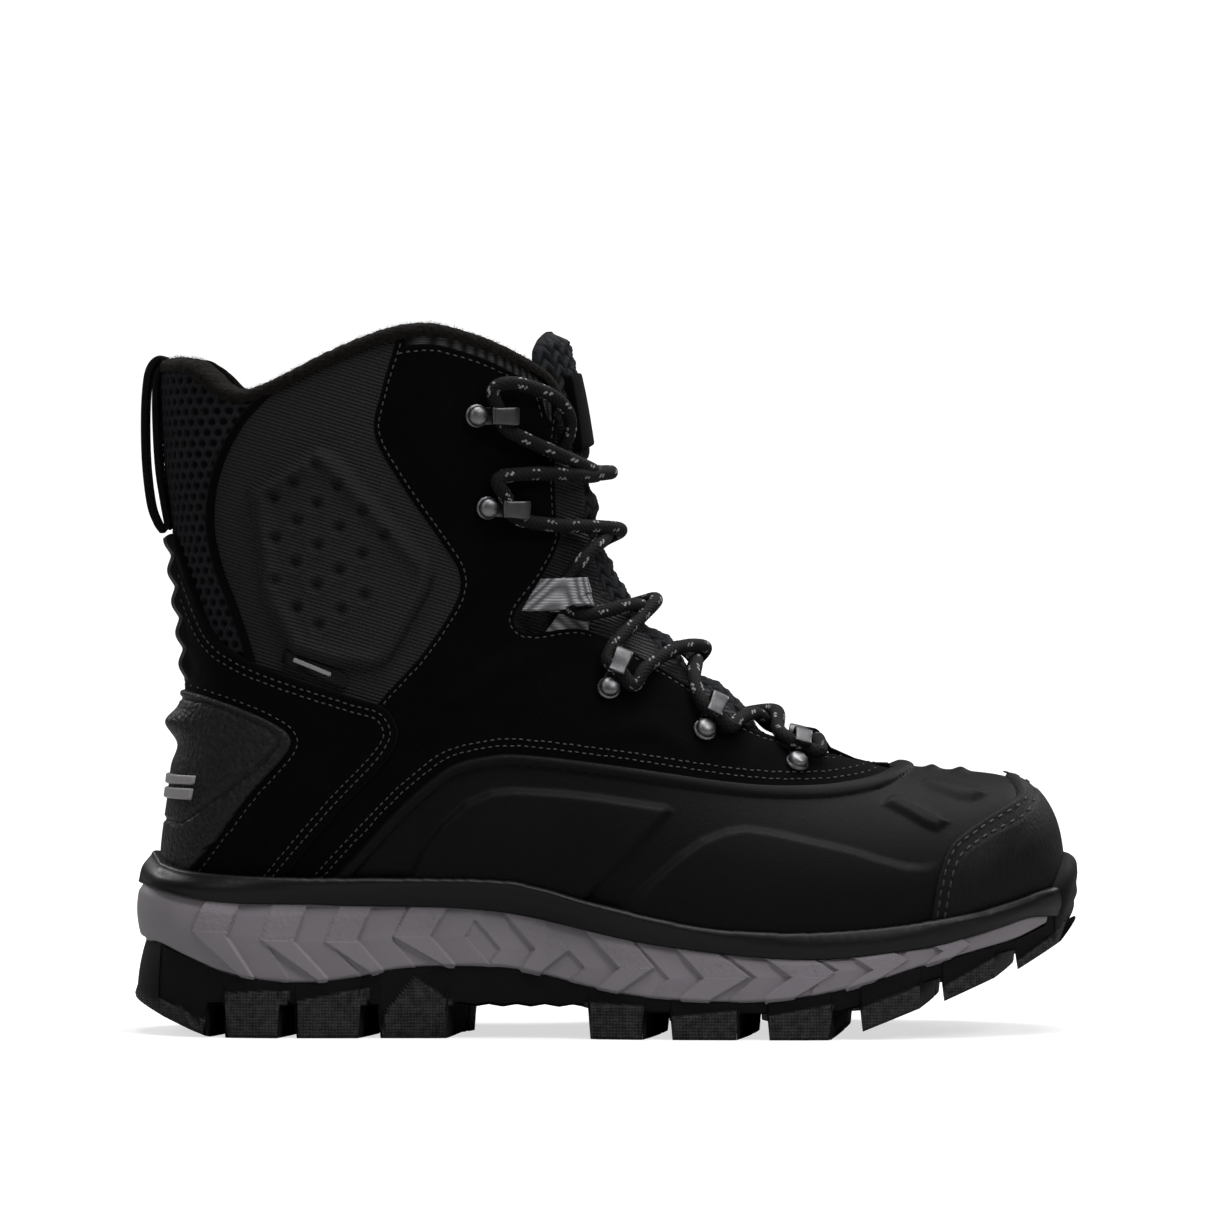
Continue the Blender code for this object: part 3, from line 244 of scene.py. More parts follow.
def lasted(u, t):
    """Points of the lasted surface.

    u counts ribs; t is 0 at the front and 1 at the back, and negative laterally.
    """
    t = (np.asarray(t, float) + 1) % 2 - 1
    row = catmull(RIBS, u)
    s = (1 - np.cos(np.pi * np.abs(t))) / 2
    spot = row[..., :2] + (row[..., 2:4] - row[..., :2]) * s[..., None]
    half, widest = row[..., 4], row[..., 5]
    end = np.where(u >= HEEL_RIB, 0, np.minimum(plan_half(row[..., 2], UPPER_BACK, UPPER_TIP, 0) / half, 1))
    ahead = (1 - np.clip(1 - s / widest, 0, 1) ** POWER) ** (1 / POWER)
    behind = (1 - np.clip((s - widest) / (1 - widest), 0, 1) ** POWER * (1 - end ** POWER)) ** (1 / POWER)
    y = midline(spot[..., 0]) + np.where(t < 0, -1, 1) * half * np.where(s < widest, ahead, behind)
    return np.stack([spot[..., 0], y, spot[..., 1]], -1)


def lasted_normal(u, t):
    """Outward normals of the lasted surface."""
    t = (np.asarray(t, float) + 1) % 2 - 1
    closed = u >= HEEL_RIB
    low = np.where(closed, t - 0.004, np.clip(t - 0.004, -1 + 1e-6, 1))
    high = np.where(closed, t + 0.004, np.clip(t + 0.004, -1, 1 - 1e-6))
    across = lasted(u, high) - lasted(u, low)
    along = lasted(np.minimum(u + 0.02, 15), t) - lasted(np.maximum(u - 0.02, 0), t)
    normal = np.cross(across, along)
    return normal / np.maximum(np.linalg.norm(normal, axis=-1), 1e-9)[..., None]


def rib_at(line):
    """(u, s) of points of the side view."""
    line = np.asarray(line, float)
    u = np.linspace(1, 14.9, 1400)
    row = catmull(RIBS, u)
    rib, to = row[:, 2:4] - row[:, :2], line[:, None, :] - row[None, :, :2]
    cross = rib[:, 0] * to[..., 1] - rib[:, 1] * to[..., 0]
    s = (to * rib).sum(-1) / (rib ** 2).sum(-1)
    off = np.abs(cross) / np.linalg.norm(rib, axis=1) + 1e3 * ((s < -0.05) | (s > 1.05))
    best = off.argmin(1)
    return u[best], np.clip(s[np.arange(len(line)), best], 0, 1)


def on_surface(line, side, height):
    """Points and normals above the surface along a line of the side view."""
    u, s = rib_at(line)
    t = side * np.arccos(1 - 2 * s) / np.pi
    normal = lasted_normal(u, t)
    return lasted(u, t) + normal * np.reshape(height, (-1, 1)), normal


def to_segment(x, z, start, end):
    """Distance to one straight piece of a line of the side view."""
    (ax, az), (bx, bz) = start, end
    dx, dz = bx - ax, bz - az
    k = np.clip(((x - ax) * dx + (z - az) * dz) / max(dx * dx + dz * dz, 1e-9), 0, 1)
    return np.hypot(x - ax - k * dx, z - az - k * dz)


def inside(x, z, outline):
    """Distance to an outline of the side view, positive inside it."""
    outline = np.asarray(outline, float)
    best = np.full(x.shape, 1e9)
    odd = np.zeros(x.shape, bool)
    for start, end in zip(outline, np.roll(outline, -1, axis=0)):
        best = np.minimum(best, to_segment(x, z, start, end))
        (ax, az), (bx, bz) = start, end
        if az != bz:
            odd ^= ((z < az) != (z < bz)) & (x < ax + (z - az) / (bz - az) * (bx - ax))
    return np.where(odd, best, -best)


def near(x, z, line):
    """Distance to an open line of the side view."""
    best = np.full(x.shape, 1e9)
    for start, end in zip(line[:-1], line[1:]):
        best = np.minimum(best, to_segment(x, z, start, end))
    return best


FEATHER = catmull(RIBS, np.linspace(0, HEEL_RIB, 400))[::-1, 2:4]


def feather_z(x):
    """Height of the featherline, where the upper meets the sole."""
    return np.interp(x, FEATHER[:, 0], FEATHER[:, 1])


# Meshes


def mesh_object(name, points, faces, mat, body="boot", replaces=(), data=None):
    """A smooth mesh from points in mm, with its material, body, replaced nodes and point attributes."""
    mesh = bpy.data.meshes.new(name)
    faces = np.asarray(faces)
    mesh.vertices.add(len(points))
    mesh.vertices.foreach_set("co", (np.asarray(points, np.float32) / 1000).ravel())
    mesh.loops.add(faces.size)
    mesh.loops.foreach_set("vertex_index", faces.astype(np.int32).ravel())
    mesh.polygons.add(len(faces))
    mesh.polygons.foreach_set("loop_start", np.arange(0, faces.size, faces.shape[1], dtype=np.int32))
    mesh.update(calc_edges=True)
    mesh.validate()
    for key, values in (data or {}).items():
        attribute = mesh.attributes.new(key, "FLOAT_VECTOR", "POINT")
        attribute.data.foreach_set("vector", np.asarray(values, np.float32).ravel())
    mesh.materials.append(mat)
    mesh.shade_smooth()
    obj = bpy.data.objects.new(name, mesh)
    bpy.context.scene.collection.objects.link(obj)
    if body:
        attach(obj, body)
    if replaces:
        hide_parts(*replaces)
    return obj


def read_points(mesh):
    """Points in mm and normals of a mesh."""
    return (np.array([v.co for v in mesh.vertices]) * 1000, np.array([v.normal for v in mesh.vertices]))


def write_points(mesh, points):
    """Moves the points of a mesh to places in mm."""
    mesh.vertices.foreach_set("co", (points / 1000).astype(np.float32).ravel())
    mesh.update()


def grid_faces(rows, columns, closed=False):
    """Triangles of a grid of points, row by row."""
    i, j = np.meshgrid(np.arange(rows - 1), np.arange(columns if closed else columns - 1), indexing="ij")
    a = (i * columns + j).ravel()
    b = (i * columns + (j + 1) % columns).ravel()
    c, d = b + columns, a + columns
    return np.concatenate([np.stack([a, b, c], 1), np.stack([a, c, d], 1)])


def split(data, tris, level):
    """Cuts triangles along the line where the last column of the data is at a level."""
    above = data[:, -1] - level
    above[np.abs(above) < 1e-5] = 1e-5
    up = above > 0
    count = up[tris].sum(1)
    crossing = (count == 1) | (count == 2)
    cut = tris[crossing]
    if not len(cut):
        return data, tris
    lone = np.where(count[crossing][:, None] == 1, up[cut], ~up[cut]).argmax(1)
    p, q, r = (cut[np.arange(len(cut)), (lone + k) % 3] for k in range(3))
    pairs = np.sort(np.concatenate([np.stack([p, q], 1), np.stack([p, r], 1)]), axis=1)
    edges, index = np.unique(pairs, axis=0, return_inverse=True)
    index = index.reshape(-1) + len(data)
    share = (above[edges[:, 0]] / (above[edges[:, 0]] - above[edges[:, 1]]))[:, None]
    made = data[edges[:, 0]] * (1 - share) + data[edges[:, 1]] * share
    made[:, -1] = level
    m, n = index[:len(cut)], index[len(cut):]
    new = np.concatenate([np.stack([p, m, n], 1), np.stack([m, q, r], 1), np.stack([m, r, n], 1)])
    return np.vstack([data, made]), np.concatenate([tris[~crossing], new])


def compact(data, tris):
    """Leaves out the points that no triangle uses."""
    used, index = np.unique(tris, return_inverse=True)
    return data[used], index.reshape(tris.shape)


def skin(name, region, low, high, mat, edge=1.0, relief=None, u=(2.0, 14.98), t=(-1.0, 1.0), step=1.0,
         closed=False, replaces=(), levels=()):
    """A piece of the upper: where region is positive, from one distance off the lasted surface to another."""
    reach = np.linspace(u[0], u[1], 900)
    ends = catmull(RIBS, reach)
    run = np.maximum(np.linalg.norm(np.diff(ends[:, :2], axis=0), axis=1),
                     np.linalg.norm(np.diff(ends[:, 2:4], axis=0), axis=1))
    run = np.concatenate([[0], np.cumsum(run)])
    us = np.interp(np.linspace(0, run[-1], int(run[-1] / step) + 2), run, reach)
    ts = np.linspace(t[0], t[1], int((t[1] - t[0]) * 215 / step) + 2)
    uu, tt = (a.ravel() for a in np.meshgrid(us, ts, indexing="ij"))
    points = lasted(uu, tt)
    f = region(points[:, 0], points[:, 1], points[:, 2], tt)
    tris = grid_faces(len(us), len(ts))
    tris = tris[(f[tris] > 0).any(1)]
    long = np.ptp(points[tris], axis=1).max(1) > 9 * step
    data, tris = compact(np.column_stack([uu, tt, f]), tris[~long])
    for level in sorted({0.0, 0.1 * edge, 0.4 * edge, edge, *levels}):
        data, tris = split(data, tris, level)
        if level == 0:
            tris = tris[(data[tris, -1] >= -1e-4).all(1)]
            data, tris = compact(data, tris)
    uu, tt, f = data.T
    points, normal = lasted(uu, tt), lasted_normal(uu, tt)
    x, y, z = points.T
    share = np.sqrt(np.clip(1 - (1 - np.clip(f / edge, 0, 1)) ** 2, 0, 1))
    height = low + (high - low) * share
    if relief:
        height = height + relief(x, y, z, f, tt) * np.clip(f / edge, 0, 1)
    top = points + normal * height[:, None]
    flat = np.column_stack([x, z, f]) / 1000
    if closed:
        top = np.vstack([top, points + normal * (low - 0.02)])
        flat = np.vstack([flat, flat])
        tris = np.vstack([tris, tris[:, ::-1] + len(points)])
    return mesh_object(name, top, tris, mat, replaces=replaces, data={"flat": flat})


COLLAR_LINE, SHELL_LINE = spline(COLLAR, 160), spline(SHELL_TOP, 60)
BELOW_COLLAR = np.vstack([shifted(COLLAR_LINE, 2.2),
                          [(-175, 225), (-175, -30), (240, -30), (240, 205), (40, 205)]])


def within(outline, extra=None, rim=True):
    """A region of the side view that stays under the collar and above the featherline."""
    def region(x, y, z, t):
        f = inside(x, z, outline)
        f = np.minimum(f, z - feather_z(x) + 2.0)
        if rim:
            f = np.minimum(f, inside(x, z, BELOW_COLLAR))
        return f if extra is None else np.minimum(f, extra(x, y, z, t))
    return region


def side_only(side):
    """A region that holds one side of the boot."""
    return lambda x, y, z, t: 50.0 * side * ((t + 1) % 2 - 1)


# Materials


def new_material(name, build, **inputs):
    """A principled material whose nodes are added by build(kit)."""
    mat = bpy.data.materials.new(name)
    mat.use_nodes = True
    nodes, links = mat.node_tree.nodes, mat.node_tree.links
    shader = nodes["Principled BSDF"]
    for key, value in inputs.items():
        shader.inputs[key.replace("_", " ")].default_value = value
    build(Kit(nodes, links, shader))
    return mat


class Kit:
    """Short names for the shader nodes that the materials use."""

    def __init__(self, nodes, links, shader):
        self.nodes, self.links, self.shader = nodes, links, shader
        self.height = None

    def put(self, socket, value):
        if isinstance(value, bpy.types.NodeSocket):
            self.links.new(value, socket)
        else:
            socket.default_value = value

    def attribute(self, name):
        made = self.nodes.new("ShaderNodeAttribute")
        made.attribute_name = name
        return made

    def coords(self, kind="object", scale=(1, 1, 1), rotation=0.0):
        if kind == "flat":
            out = self.attribute("flat").outputs["Vector"]
        else:
            out = self.nodes.new("ShaderNodeTexCoord").outputs["Object"]
        mapping = self.nodes.new("ShaderNodeMapping")
        mapping.inputs["Scale"].default_value = scale
        mapping.inputs["Rotation"].default_value = (0, 0, rotation)
        self.links.new(out, mapping.inputs["Vector"])
        return mapping.outputs["Vector"]

    def texture(self, kind, vector, **inputs):
        made = self.nodes.new("ShaderNodeTex" + kind)
        for key, value in inputs.items():
            made.inputs[key.replace("_", " ")].default_value = value
        self.links.new(vector, made.inputs["Vector"])
        return made

    def noise(self, vector, scale, detail=3.0, roughness=0.55):
        return self.texture("Noise", vector, Scale=scale, Detail=detail, Roughness=roughness).outputs["Fac"]

    def wave(self, vector, scale, distortion=0.0, direction="X"):
        made = self.texture("Wave", vector, Scale=scale, Distortion=distortion, Detail_Scale=2.0)
        made.bands_direction = direction
        return made.outputs["Fac"]

    def voronoi(self, vector, scale):
        return self.texture("Voronoi", vector, Scale=scale).outputs["Distance"]

    def math(self, operation, a, b=0.0, clamp=False):
        made = self.nodes.new("ShaderNodeMath")
        made.operation = operation
        made.use_clamp = clamp
        self.put(made.inputs[0], a)
        self.put(made.inputs[1], b)
        return made.outputs[0]

    def remap(self, value, low, high, to_low=0.0, to_high=1.0):
        made = self.nodes.new("ShaderNodeMapRange")
        for key, v in (("From Min", low), ("From Max", high), ("To Min", to_low), ("To Max", to_high)):
            made.inputs[key].default_value = v
        self.links.new(value, made.inputs["Value"])
        return made.outputs["Result"]

    def color(self, factor, dark, light):
        made = self.nodes.new("ShaderNodeMix")
        made.data_type = "RGBA"
        self.links.new(factor, made.inputs[0])
        made.inputs[6].default_value = (*dark, 1)
        made.inputs[7].default_value = (*light, 1)
        self.links.new(made.outputs[2], self.shader.inputs["Base Color"])
        return made.outputs[2]

    def rough(self, value):
        self.links.new(value, self.shader.inputs["Roughness"])

    def bump(self, height, distance, strength=1.0):
        made = self.nodes.new("ShaderNodeBump")
        made.inputs["Distance"].default_value = distance
        made.inputs["Strength"].default_value = strength
        self.links.new(height, made.inputs["Height"])
        if self.height is not None:
            self.links.new(self.height, made.inputs["Normal"])
        self.height = made.outputs["Normal"]
        self.links.new(self.height, self.shader.inputs["Normal"])


def build_materials():
    """All materials of the boot, by name."""
    def suede(k):
        at = k.coords()
        fibre = k.noise(at, 1400, 4)
        cloud = k.noise(at, 60, 3)
        k.color(k.math("MULTIPLY", fibre, cloud), (0.0006, 0.0006, 0.0007), (0.0042, 0.0041, 0.0044))
        k.bump(cloud, 0.0006, 0.5)
        k.bump(fibre, 0.00025, 0.9)

    def textile(k):
        at = k.coords("flat", rotation=0.30)
        across = k.remap(k.wave(at, 400, 0.3, direction="X"), 0, 1, 0.45, 1.0)
        along = k.wave(at, 270, 0.3, direction="Y")
        cell = k.math("MULTIPLY", across, along)
        grain = k.noise(k.coords(), 1800, 2)
        tone = k.math("ADD", k.remap(cell, 0.15, 0.9), k.math("MULTIPLY", grain, 0.35))
        k.color(k.math("MULTIPLY", tone, 0.8, True), (0.0010, 0.0010, 0.0012), (0.027, 0.026, 0.028))
        k.bump(cell, 0.0005, 0.8)
        k.bump(grain, 0.0002, 0.5)

    def mesh(k):
        at = k.coords()
        yarn = k.noise(at, 1500, 3)
        # The tone is the knit's loop height, so the colour puts painted shade in the holes and hollows
        # between loops.
        tone = k.attribute("tone")
        lift = k.math("MULTIPLY", tone.outputs["Fac"], k.remap(yarn, 0.2, 0.8, 0.55, 1.2))
        k.color(lift, (0.0008, 0.0008, 0.0010), (0.017, 0.018, 0.021))
        k.bump(yarn, 0.0004, 0.9)

    def fleece(k):
        at = k.coords()
        curl = k.noise(at, 700, 5, 0.7)
        k.color(k.remap(curl, 0.3, 0.75), (0.0014, 0.0012, 0.0010), (0.014, 0.0115, 0.0095))
        k.bump(k.noise(at, 260, 4, 0.7), 0.0012, 0.8)
        k.bump(curl, 0.0006, 1.0)

    def shell(k):
        at = k.coords()
        grain = k.noise(at, 1600, 2)
        scuff = k.noise(at, 35, 4)
        k.color(scuff, (0.0012, 0.0012, 0.0012), (0.0028, 0.0027, 0.0028))
        k.rough(k.remap(k.math("ADD", grain, scuff), 0.6, 1.4, 0.50, 0.66))
        k.bump(grain, 0.00016, 0.8)

    def bead(k):
        at = k.coords()
        grain = k.noise(at, 900, 3)
        k.color(grain, (0.0022, 0.0021, 0.0022), (0.0045, 0.0043, 0.0044))
        k.rough(k.remap(grain, 0.3, 0.7, 0.36, 0.5))
        k.bump(grain, 0.0001, 0.5)

    def tread(k):
        at = k.coords("flat")
        dust = k.noise(k.coords(), 420, 5, 0.65)
        knurl = k.math("MULTIPLY", k.wave(at, 300, direction="X"), k.wave(at, 300, direction="Y"))
        # The tone attribute paints light on the lug faces and shade in the gaps between lugs; dust noise
        # mottles the lit faces.
        mask = k.attribute("tone")
        squares = k.math("MULTIPLY", knurl, mask.outputs["Fac"])
        dust_and_lit_lugs = k.math("MULTIPLY", mask.outputs["Fac"], k.remap(dust, 0.35, 0.75, 0.1, 0.75))
        k.color(k.math("ADD", dust_and_lit_lugs, k.math("MULTIPLY", squares, 0.28), True),
                (0.0036, 0.0034, 0.0035), (0.060, 0.056, 0.057))
        k.bump(squares, 0.00035, 0.8)
        k.bump(dust, 0.0002, 0.5)

    def toe(k):
        brushed = k.noise(k.coords("object", (1, 1, 0.08)), 1300, 3)
        grain = k.noise(k.coords(), 900, 2)
        k.color(brushed, (0.0018, 0.0017, 0.0018), (0.0085, 0.0082, 0.0083))
        k.rough(k.remap(brushed, 0.3, 0.7, 0.5, 0.72))
        k.bump(brushed, 0.0004, 0.8)
        k.bump(grain, 0.0001, 0.5)

    def counter(k):
        at = k.coords()
        pebble = k.voronoi(at, 620)
        crease = k.noise(at, 300, 4)
        k.color(k.math("MULTIPLY", pebble, crease), (0.0035, 0.0033, 0.0034), (0.022, 0.021, 0.0215))
        k.rough(k.remap(pebble, 0.1, 0.6, 0.4, 0.6))
        k.bump(k.math("ADD", pebble, crease), 0.0005, 0.8)

    def foam(k):
        at = k.coords()
        skin_grain = k.noise(at, 1000, 3)
        wide = k.noise(at, 45, 3)
        mask = k.attribute("tone")
        rough_part = k.math("MULTIPLY", k.noise(at, 520, 4, 0.6), mask.outputs["Fac"])
        k.color(wide, (0.215, 0.198, 0.218), (0.255, 0.236, 0.258))
        k.bump(rough_part, 0.0007, 0.8)
        k.bump(skin_grain, 0.00012, 0.5)

    def webbing(dark, light):
        def build(k):
            at = k.coords()
            ribs = k.wave(at, 210, 0.4, "Y")
            rows = k.wave(at, 330, 0.3, "Z")
            cell = k.math("MULTIPLY", ribs, k.remap(rows, 0, 1, 0.5, 1.0))
            k.color(cell, dark, light)
            k.bump(cell, 0.0005, 0.8)
        return build

    def lace(k):
        tone = k.attribute("tone")
        parts = k.nodes.new("ShaderNodeSeparateXYZ")
        k.links.new(tone.outputs["Vector"], parts.inputs[0])
        fibre = k.noise(k.coords(), 2500, 2)
        # The braid's height darkens the colour between strands as painted shade; the second channel mixes in
        # the light grey flecks.
        black = k.color(k.math("MULTIPLY", parts.outputs[0], fibre), (0.0012, 0.0012, 0.0012),
                        (0.020, 0.0185, 0.018))
        mix = k.nodes.new("ShaderNodeMix")
        mix.data_type = "RGBA"
        k.links.new(parts.outputs[1], mix.inputs[0])
        k.links.new(black, mix.inputs[6])
        mix.inputs[7].default_value = (0.36, 0.335, 0.35, 1)
        k.links.new(mix.outputs[2], k.shader.inputs["Base Color"])
        k.bump(fibre, 0.0002, 0.6)

    def metal(dark, light):
        def build(k):
            at = k.coords()
            scratches = k.noise(at, 900, 4)
            k.color(k.noise(at, 160, 3), dark, light)
            k.rough(k.remap(scratches, 0.3, 0.7, 0.36, 0.52))
            k.bump(scratches, 0.00008, 0.4)
        return build

    def thread(dark, light):
        def build(k):
            twist = k.noise(k.coords(), 2200, 2)
            k.color(twist, dark, light)
            k.bump(twist, 0.0002, 0.8)
        return build

    def plain(dark, light, scale, distance):
        def build(k):
            grain = k.noise(k.coords(), scale, 3)
            k.color(grain, dark, light)
            k.bump(grain, distance, 0.6)
        return build

    cloth = {"Roughness": 0.95, "Specular_IOR_Level": 0.12}
    recipes = {
        "suede": (suede,
                  dict(Roughness=0.97, Specular_IOR_Level=0.04, Sheen_Weight=0.018, Sheen_Roughness=0.5)),
        "textile": (textile, dict(Roughness=0.6, Specular_IOR_Level=0.16)),
        "mesh": (mesh, dict(Roughness=0.8, Specular_IOR_Level=0.12)),
        "fleece": (fleece, dict(Roughness=1.0, Specular_IOR_Level=0.05, Sheen_Weight=0.06)),
        "shell": (shell, dict(Specular_IOR_Level=0.115)),
        "bead": (bead, dict(Specular_IOR_Level=0.26)),
        "tread": (tread, dict(Roughness=0.7, Specular_IOR_Level=0.14)),
        "toe": (toe, dict(Specular_IOR_Level=0.145)),
        "counter": (counter, dict(Specular_IOR_Level=0.22)),
        "foam": (foam, dict(Roughness=0.6, Specular_IOR_Level=0.2)),
        "webbing": (webbing((0.002, 0.002, 0.002), (0.014, 0.014, 0.015)), cloth),
        "grey_mesh": (webbing((0.01, 0.01, 0.011), (0.085, 0.083, 0.088)), cloth),
        "grey_webbing": (webbing((0.095, 0.092, 0.098), (0.40, 0.39, 0.41)), cloth),
        "lace": (lace, dict(Roughness=0.75, Specular_IOR_Level=0.12)),
        "metal": (metal((0.15, 0.15, 0.157), (0.27, 0.268, 0.277)), dict(Metallic=1.0)),
        "hook_metal": (metal((0.06, 0.06, 0.063), (0.13, 0.129, 0.134)), dict(Metallic=1.0)),
        "thread": (thread((0.010, 0.010, 0.011), (0.060, 0.058, 0.060)), dict(Roughness=0.6)),
        "dark_thread": (thread((0.004, 0.004, 0.004), (0.02, 0.02, 0.02)), dict(Roughness=0.6)),
        "badge": (plain((0.22, 0.21, 0.22), (0.32, 0.31, 0.32), 900, 0.0001), dict(Roughness=0.4)),
        "lining": (plain((0.004, 0.0035, 0.003), (0.02, 0.017, 0.015), 900, 0.0006), cloth),
        "padding": (plain((0.03, 0.03, 0.032), (0.07, 0.07, 0.075), 500, 0.0006), cloth),
        "board": (plain((0.25, 0.2, 0.15), (0.4, 0.33, 0.26), 300, 0.0003), cloth),
        "steel": (plain((0.4, 0.4, 0.4), (0.6, 0.6, 0.6), 400, 0.0001), dict(Metallic=1.0, Roughness=0.35)),
        "stiffener": (plain((0.1, 0.1, 0.1), (0.16, 0.16, 0.16), 300, 0.0002), dict(Roughness=0.6)),
        "aglet": (plain((0.01, 0.01, 0.01), (0.02, 0.02, 0.02), 400, 0.0001), dict(Roughness=0.2)),
    }
    return {name: new_material(name, build, **inputs) for name, (build, inputs) in recipes.items()}


# The upper


def suede_arcs(x, z):
    """Height of the raised arcs in the suede, which die out at the shell."""
    lift = 0.0
    for arc in SUEDE_ARCS:
        lift = lift + 0.9 * smooth(7, 0, near(x, z, spline(arc, 24)))
    return lift * smooth(3, 12, near(x, z, SHELL_LINE))


def build_upper(m):
    """Suede, side panels, mesh, moulded shell, heel parts and lining."""
    rear, piping, eyestay = spline(SUEDE_REAR, 90), spline(PIPING, 90), spline(EYESTAY, 110)
    quarter = np.vstack([eyestay, [(80, 104), (97, 112), (97, 10), (-112, 10)], rear[::-1],
                         [(-67, 250), (-16, 250)]])
    window = np.vstack([shifted(rear, 1.5), [(-112, 10), (-121, 10)], shifted(piping, 1.0)[::-1]])
    knit = np.vstack([shifted(piping, -0.4), [(-120, 10), (-175, 10), (-175, 260)]])

    def quarter_relief(x, y, z, f, t):
        return suede_arcs(x, z) - 0.25 * smooth(0.9, 0.0, np.abs(f - 1.7))

    def below_strip(side):
        half = side_only(side)
        return lambda x, y, z, t: np.minimum(half(x, y, z, t), near(x, z, COLLAR_LINE) - 5.4 + 9 * (x < -67))

    def strip_region(side):
        half = side_only(side)
        return lambda x, y, z, t: np.minimum.reduce([
            6.5 - near(x, z, COLLAR_LINE), half(x, y, z, t), x + 69, -19 - x, inside(x, z, BELOW_COLLAR)])

    def window_relief(x, y, z, f, t):
        d = inside(x, z, HEXAGON)
        lift = 2.5 * smooth(-0.4, 2.4, d) + 0.6 * smooth(2.2, 0, np.abs(d - 4.2)) - 0.9 * smooth(4.5, 9, d)
        for cx, cz in DIMPLES:
            r = np.hypot(x - cx, z - cz)
            lift = lift - 2.0 * np.exp(-(r / 1.5) ** 2) + 0.35 * np.exp(-((r - 3.3) / 1.1) ** 2)
        return lift

    for name, side in SIDES.items():
        skin("rim_strip_" + name, strip_region(side), 0.0, 1.3, m["grey_mesh"], 0.5, u=(12, 14.98),
             t=(-1, 0.0) if side < 0 else (0.0, 1))
        skin("suede_" + name, within(quarter, below_strip(side)), 0.3, 2.3, m["suede"], 0.9, quarter_relief,
             u=(3.5, 14.98), t=(-1, 0.0) if side < 0 else (0.0, 1), closed=True,
             replaces=["suede_quarter_" + name])
        skin("window_" + name, within(window, side_only(side)), -0.3, 1.5, m["textile"], 0.8, window_relief,
             u=(7.0, 14.98), t=(-1, -0.3) if side < 0 else (0.3, 1),
             replaces=["textile_panel_" + name])
        cord_region = np.vstack([shifted(piping, 1.4), shifted(piping, -1.4)[::-1]])
        skin("edge_cord_" + name, within(cord_region, side_only(side)), 0.2, 2.9, m["suede"], 1.3,
             u=(9.0, 14.98), t=(-0.95, -0.4) if side < 0 else (0.4, 0.95), step=0.7,
             replaces=["piping_" + name])

    knit_obj = knitted("knit", within(knit), m["mesh"], (9.5, 14.98), (0.5, 1.5), 2.1, hexes, 0.55)
    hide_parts("knit_collar")

    shell_top = spline(SHELL_TOP, 90)
    shell = np.vstack([shell_top, [(106, 115), (170, 115), (170, 10), (-100, 10)]])

    def shell_relief(x, y, z, f, t):
        edge_gap = near(x, z, shell_top)
        rim = 1.5 * np.sqrt(np.clip(1 - ((edge_gap - 2.2) / 2.2) ** 2, 0, 1)) * (f < 30)
        swell = np.maximum(2.2 * smooth(-0.6, 2.6, inside(x, z, SWELL_REAR)) * smooth(30, 52, z),
                           2.2 * smooth(-0.6, 2.8, inside(x, z, SWELL_FRONT)) * smooth(112, 96, x))
        pads = sum(1.5 * smooth(-0.3, 2.4, inside(x, z, pad)) for pad in TOE_PADS)
        for ridge in (109.8, 119.5):
            pads = pads + 1.3 * np.exp(-((x - ridge) / 2.2) ** 2) * smooth(12, 6, np.abs(y - midline(x)))
        return rim + swell + pads

    skin("mudguard_shell", within(shell, rim=False), 2.0, 3.8, m["shell"], 0.9, shell_relief, u=(0.4, 8.6),
         replaces=["mudguard"], levels=(4.4,))

    band = np.vstack([spline(BAND_TOP, 90), [(-112, 10), (-180, 10), (-180, 169)]])
    groove = lambda x, y, z, f, t: -0.3 * smooth(1.0, 0, np.abs(f - 3.6))
    skin("heel_strap", within(band), 2.0, 3.9, m["suede"], 0.9, groove, u=(8.5, 14.2), t=(0.45, 1.55),
         replaces=["heel_band"])

    def guard_region(x, y, z, t):
        return np.minimum(np.minimum(12.0 - np.abs(y - midline(x)), 30 * (x < -100) - 10),
                          np.minimum(z - 118, 168 - z))

    def guard_relief(x, y, z, f, t):
        return 1.9 * (0.5 + 0.5 * np.cos((z - 124) * 2 * np.pi / 10.5)) ** 0.7 - 0.3

    skin("achilles_ribs", guard_region, 3.2, 4.3, m["shell"], 1.2, guard_relief, u=(10.5, 14), t=(0.8, 1.2),
         step=0.7, replaces=["achilles_guard"])

    counter = np.vstack([spline(COUNTER_EDGE, 70), [(-140, 10), (-180, 10), (-180, 116)]])

    def counter_relief(x, y, z, f, t):
        d = near(x, z, COUNTER_GROOVE)
        spur = 4.2 * smooth(9, 0, np.abs(z - 103.2)) ** 1.5 * smooth(26, 4, np.abs(y - MIDLINE))
        dip = -1.2 * smooth(7, 0, np.abs(z - 95.5)) * smooth(26, 4, np.abs(y - MIDLINE))
        return spur + dip - 1.0 * smooth(1.1, 0.1, d)

    skin("counter_cup", within(counter), 3.6, 5.4, m["counter"], 0.8, counter_relief, u=(8.5, 13),
         t=(0.5, 1.5), step=0.8, replaces=["heel_counter"])
    bar = [(-180, 78.6), (-134.5, 77.8), (-133.0, 86.2), (-180, 87)]
    notch = lambda x, y, z, t: np.abs(z - 82.4) - 0.55
    skin("badge_bars", within(bar, notch), 5.0, 6.6, m["badge"], 0.5, u=(10, 12), t=(0.7, 1.3), step=0.7,
         replaces=["heel_badge"])

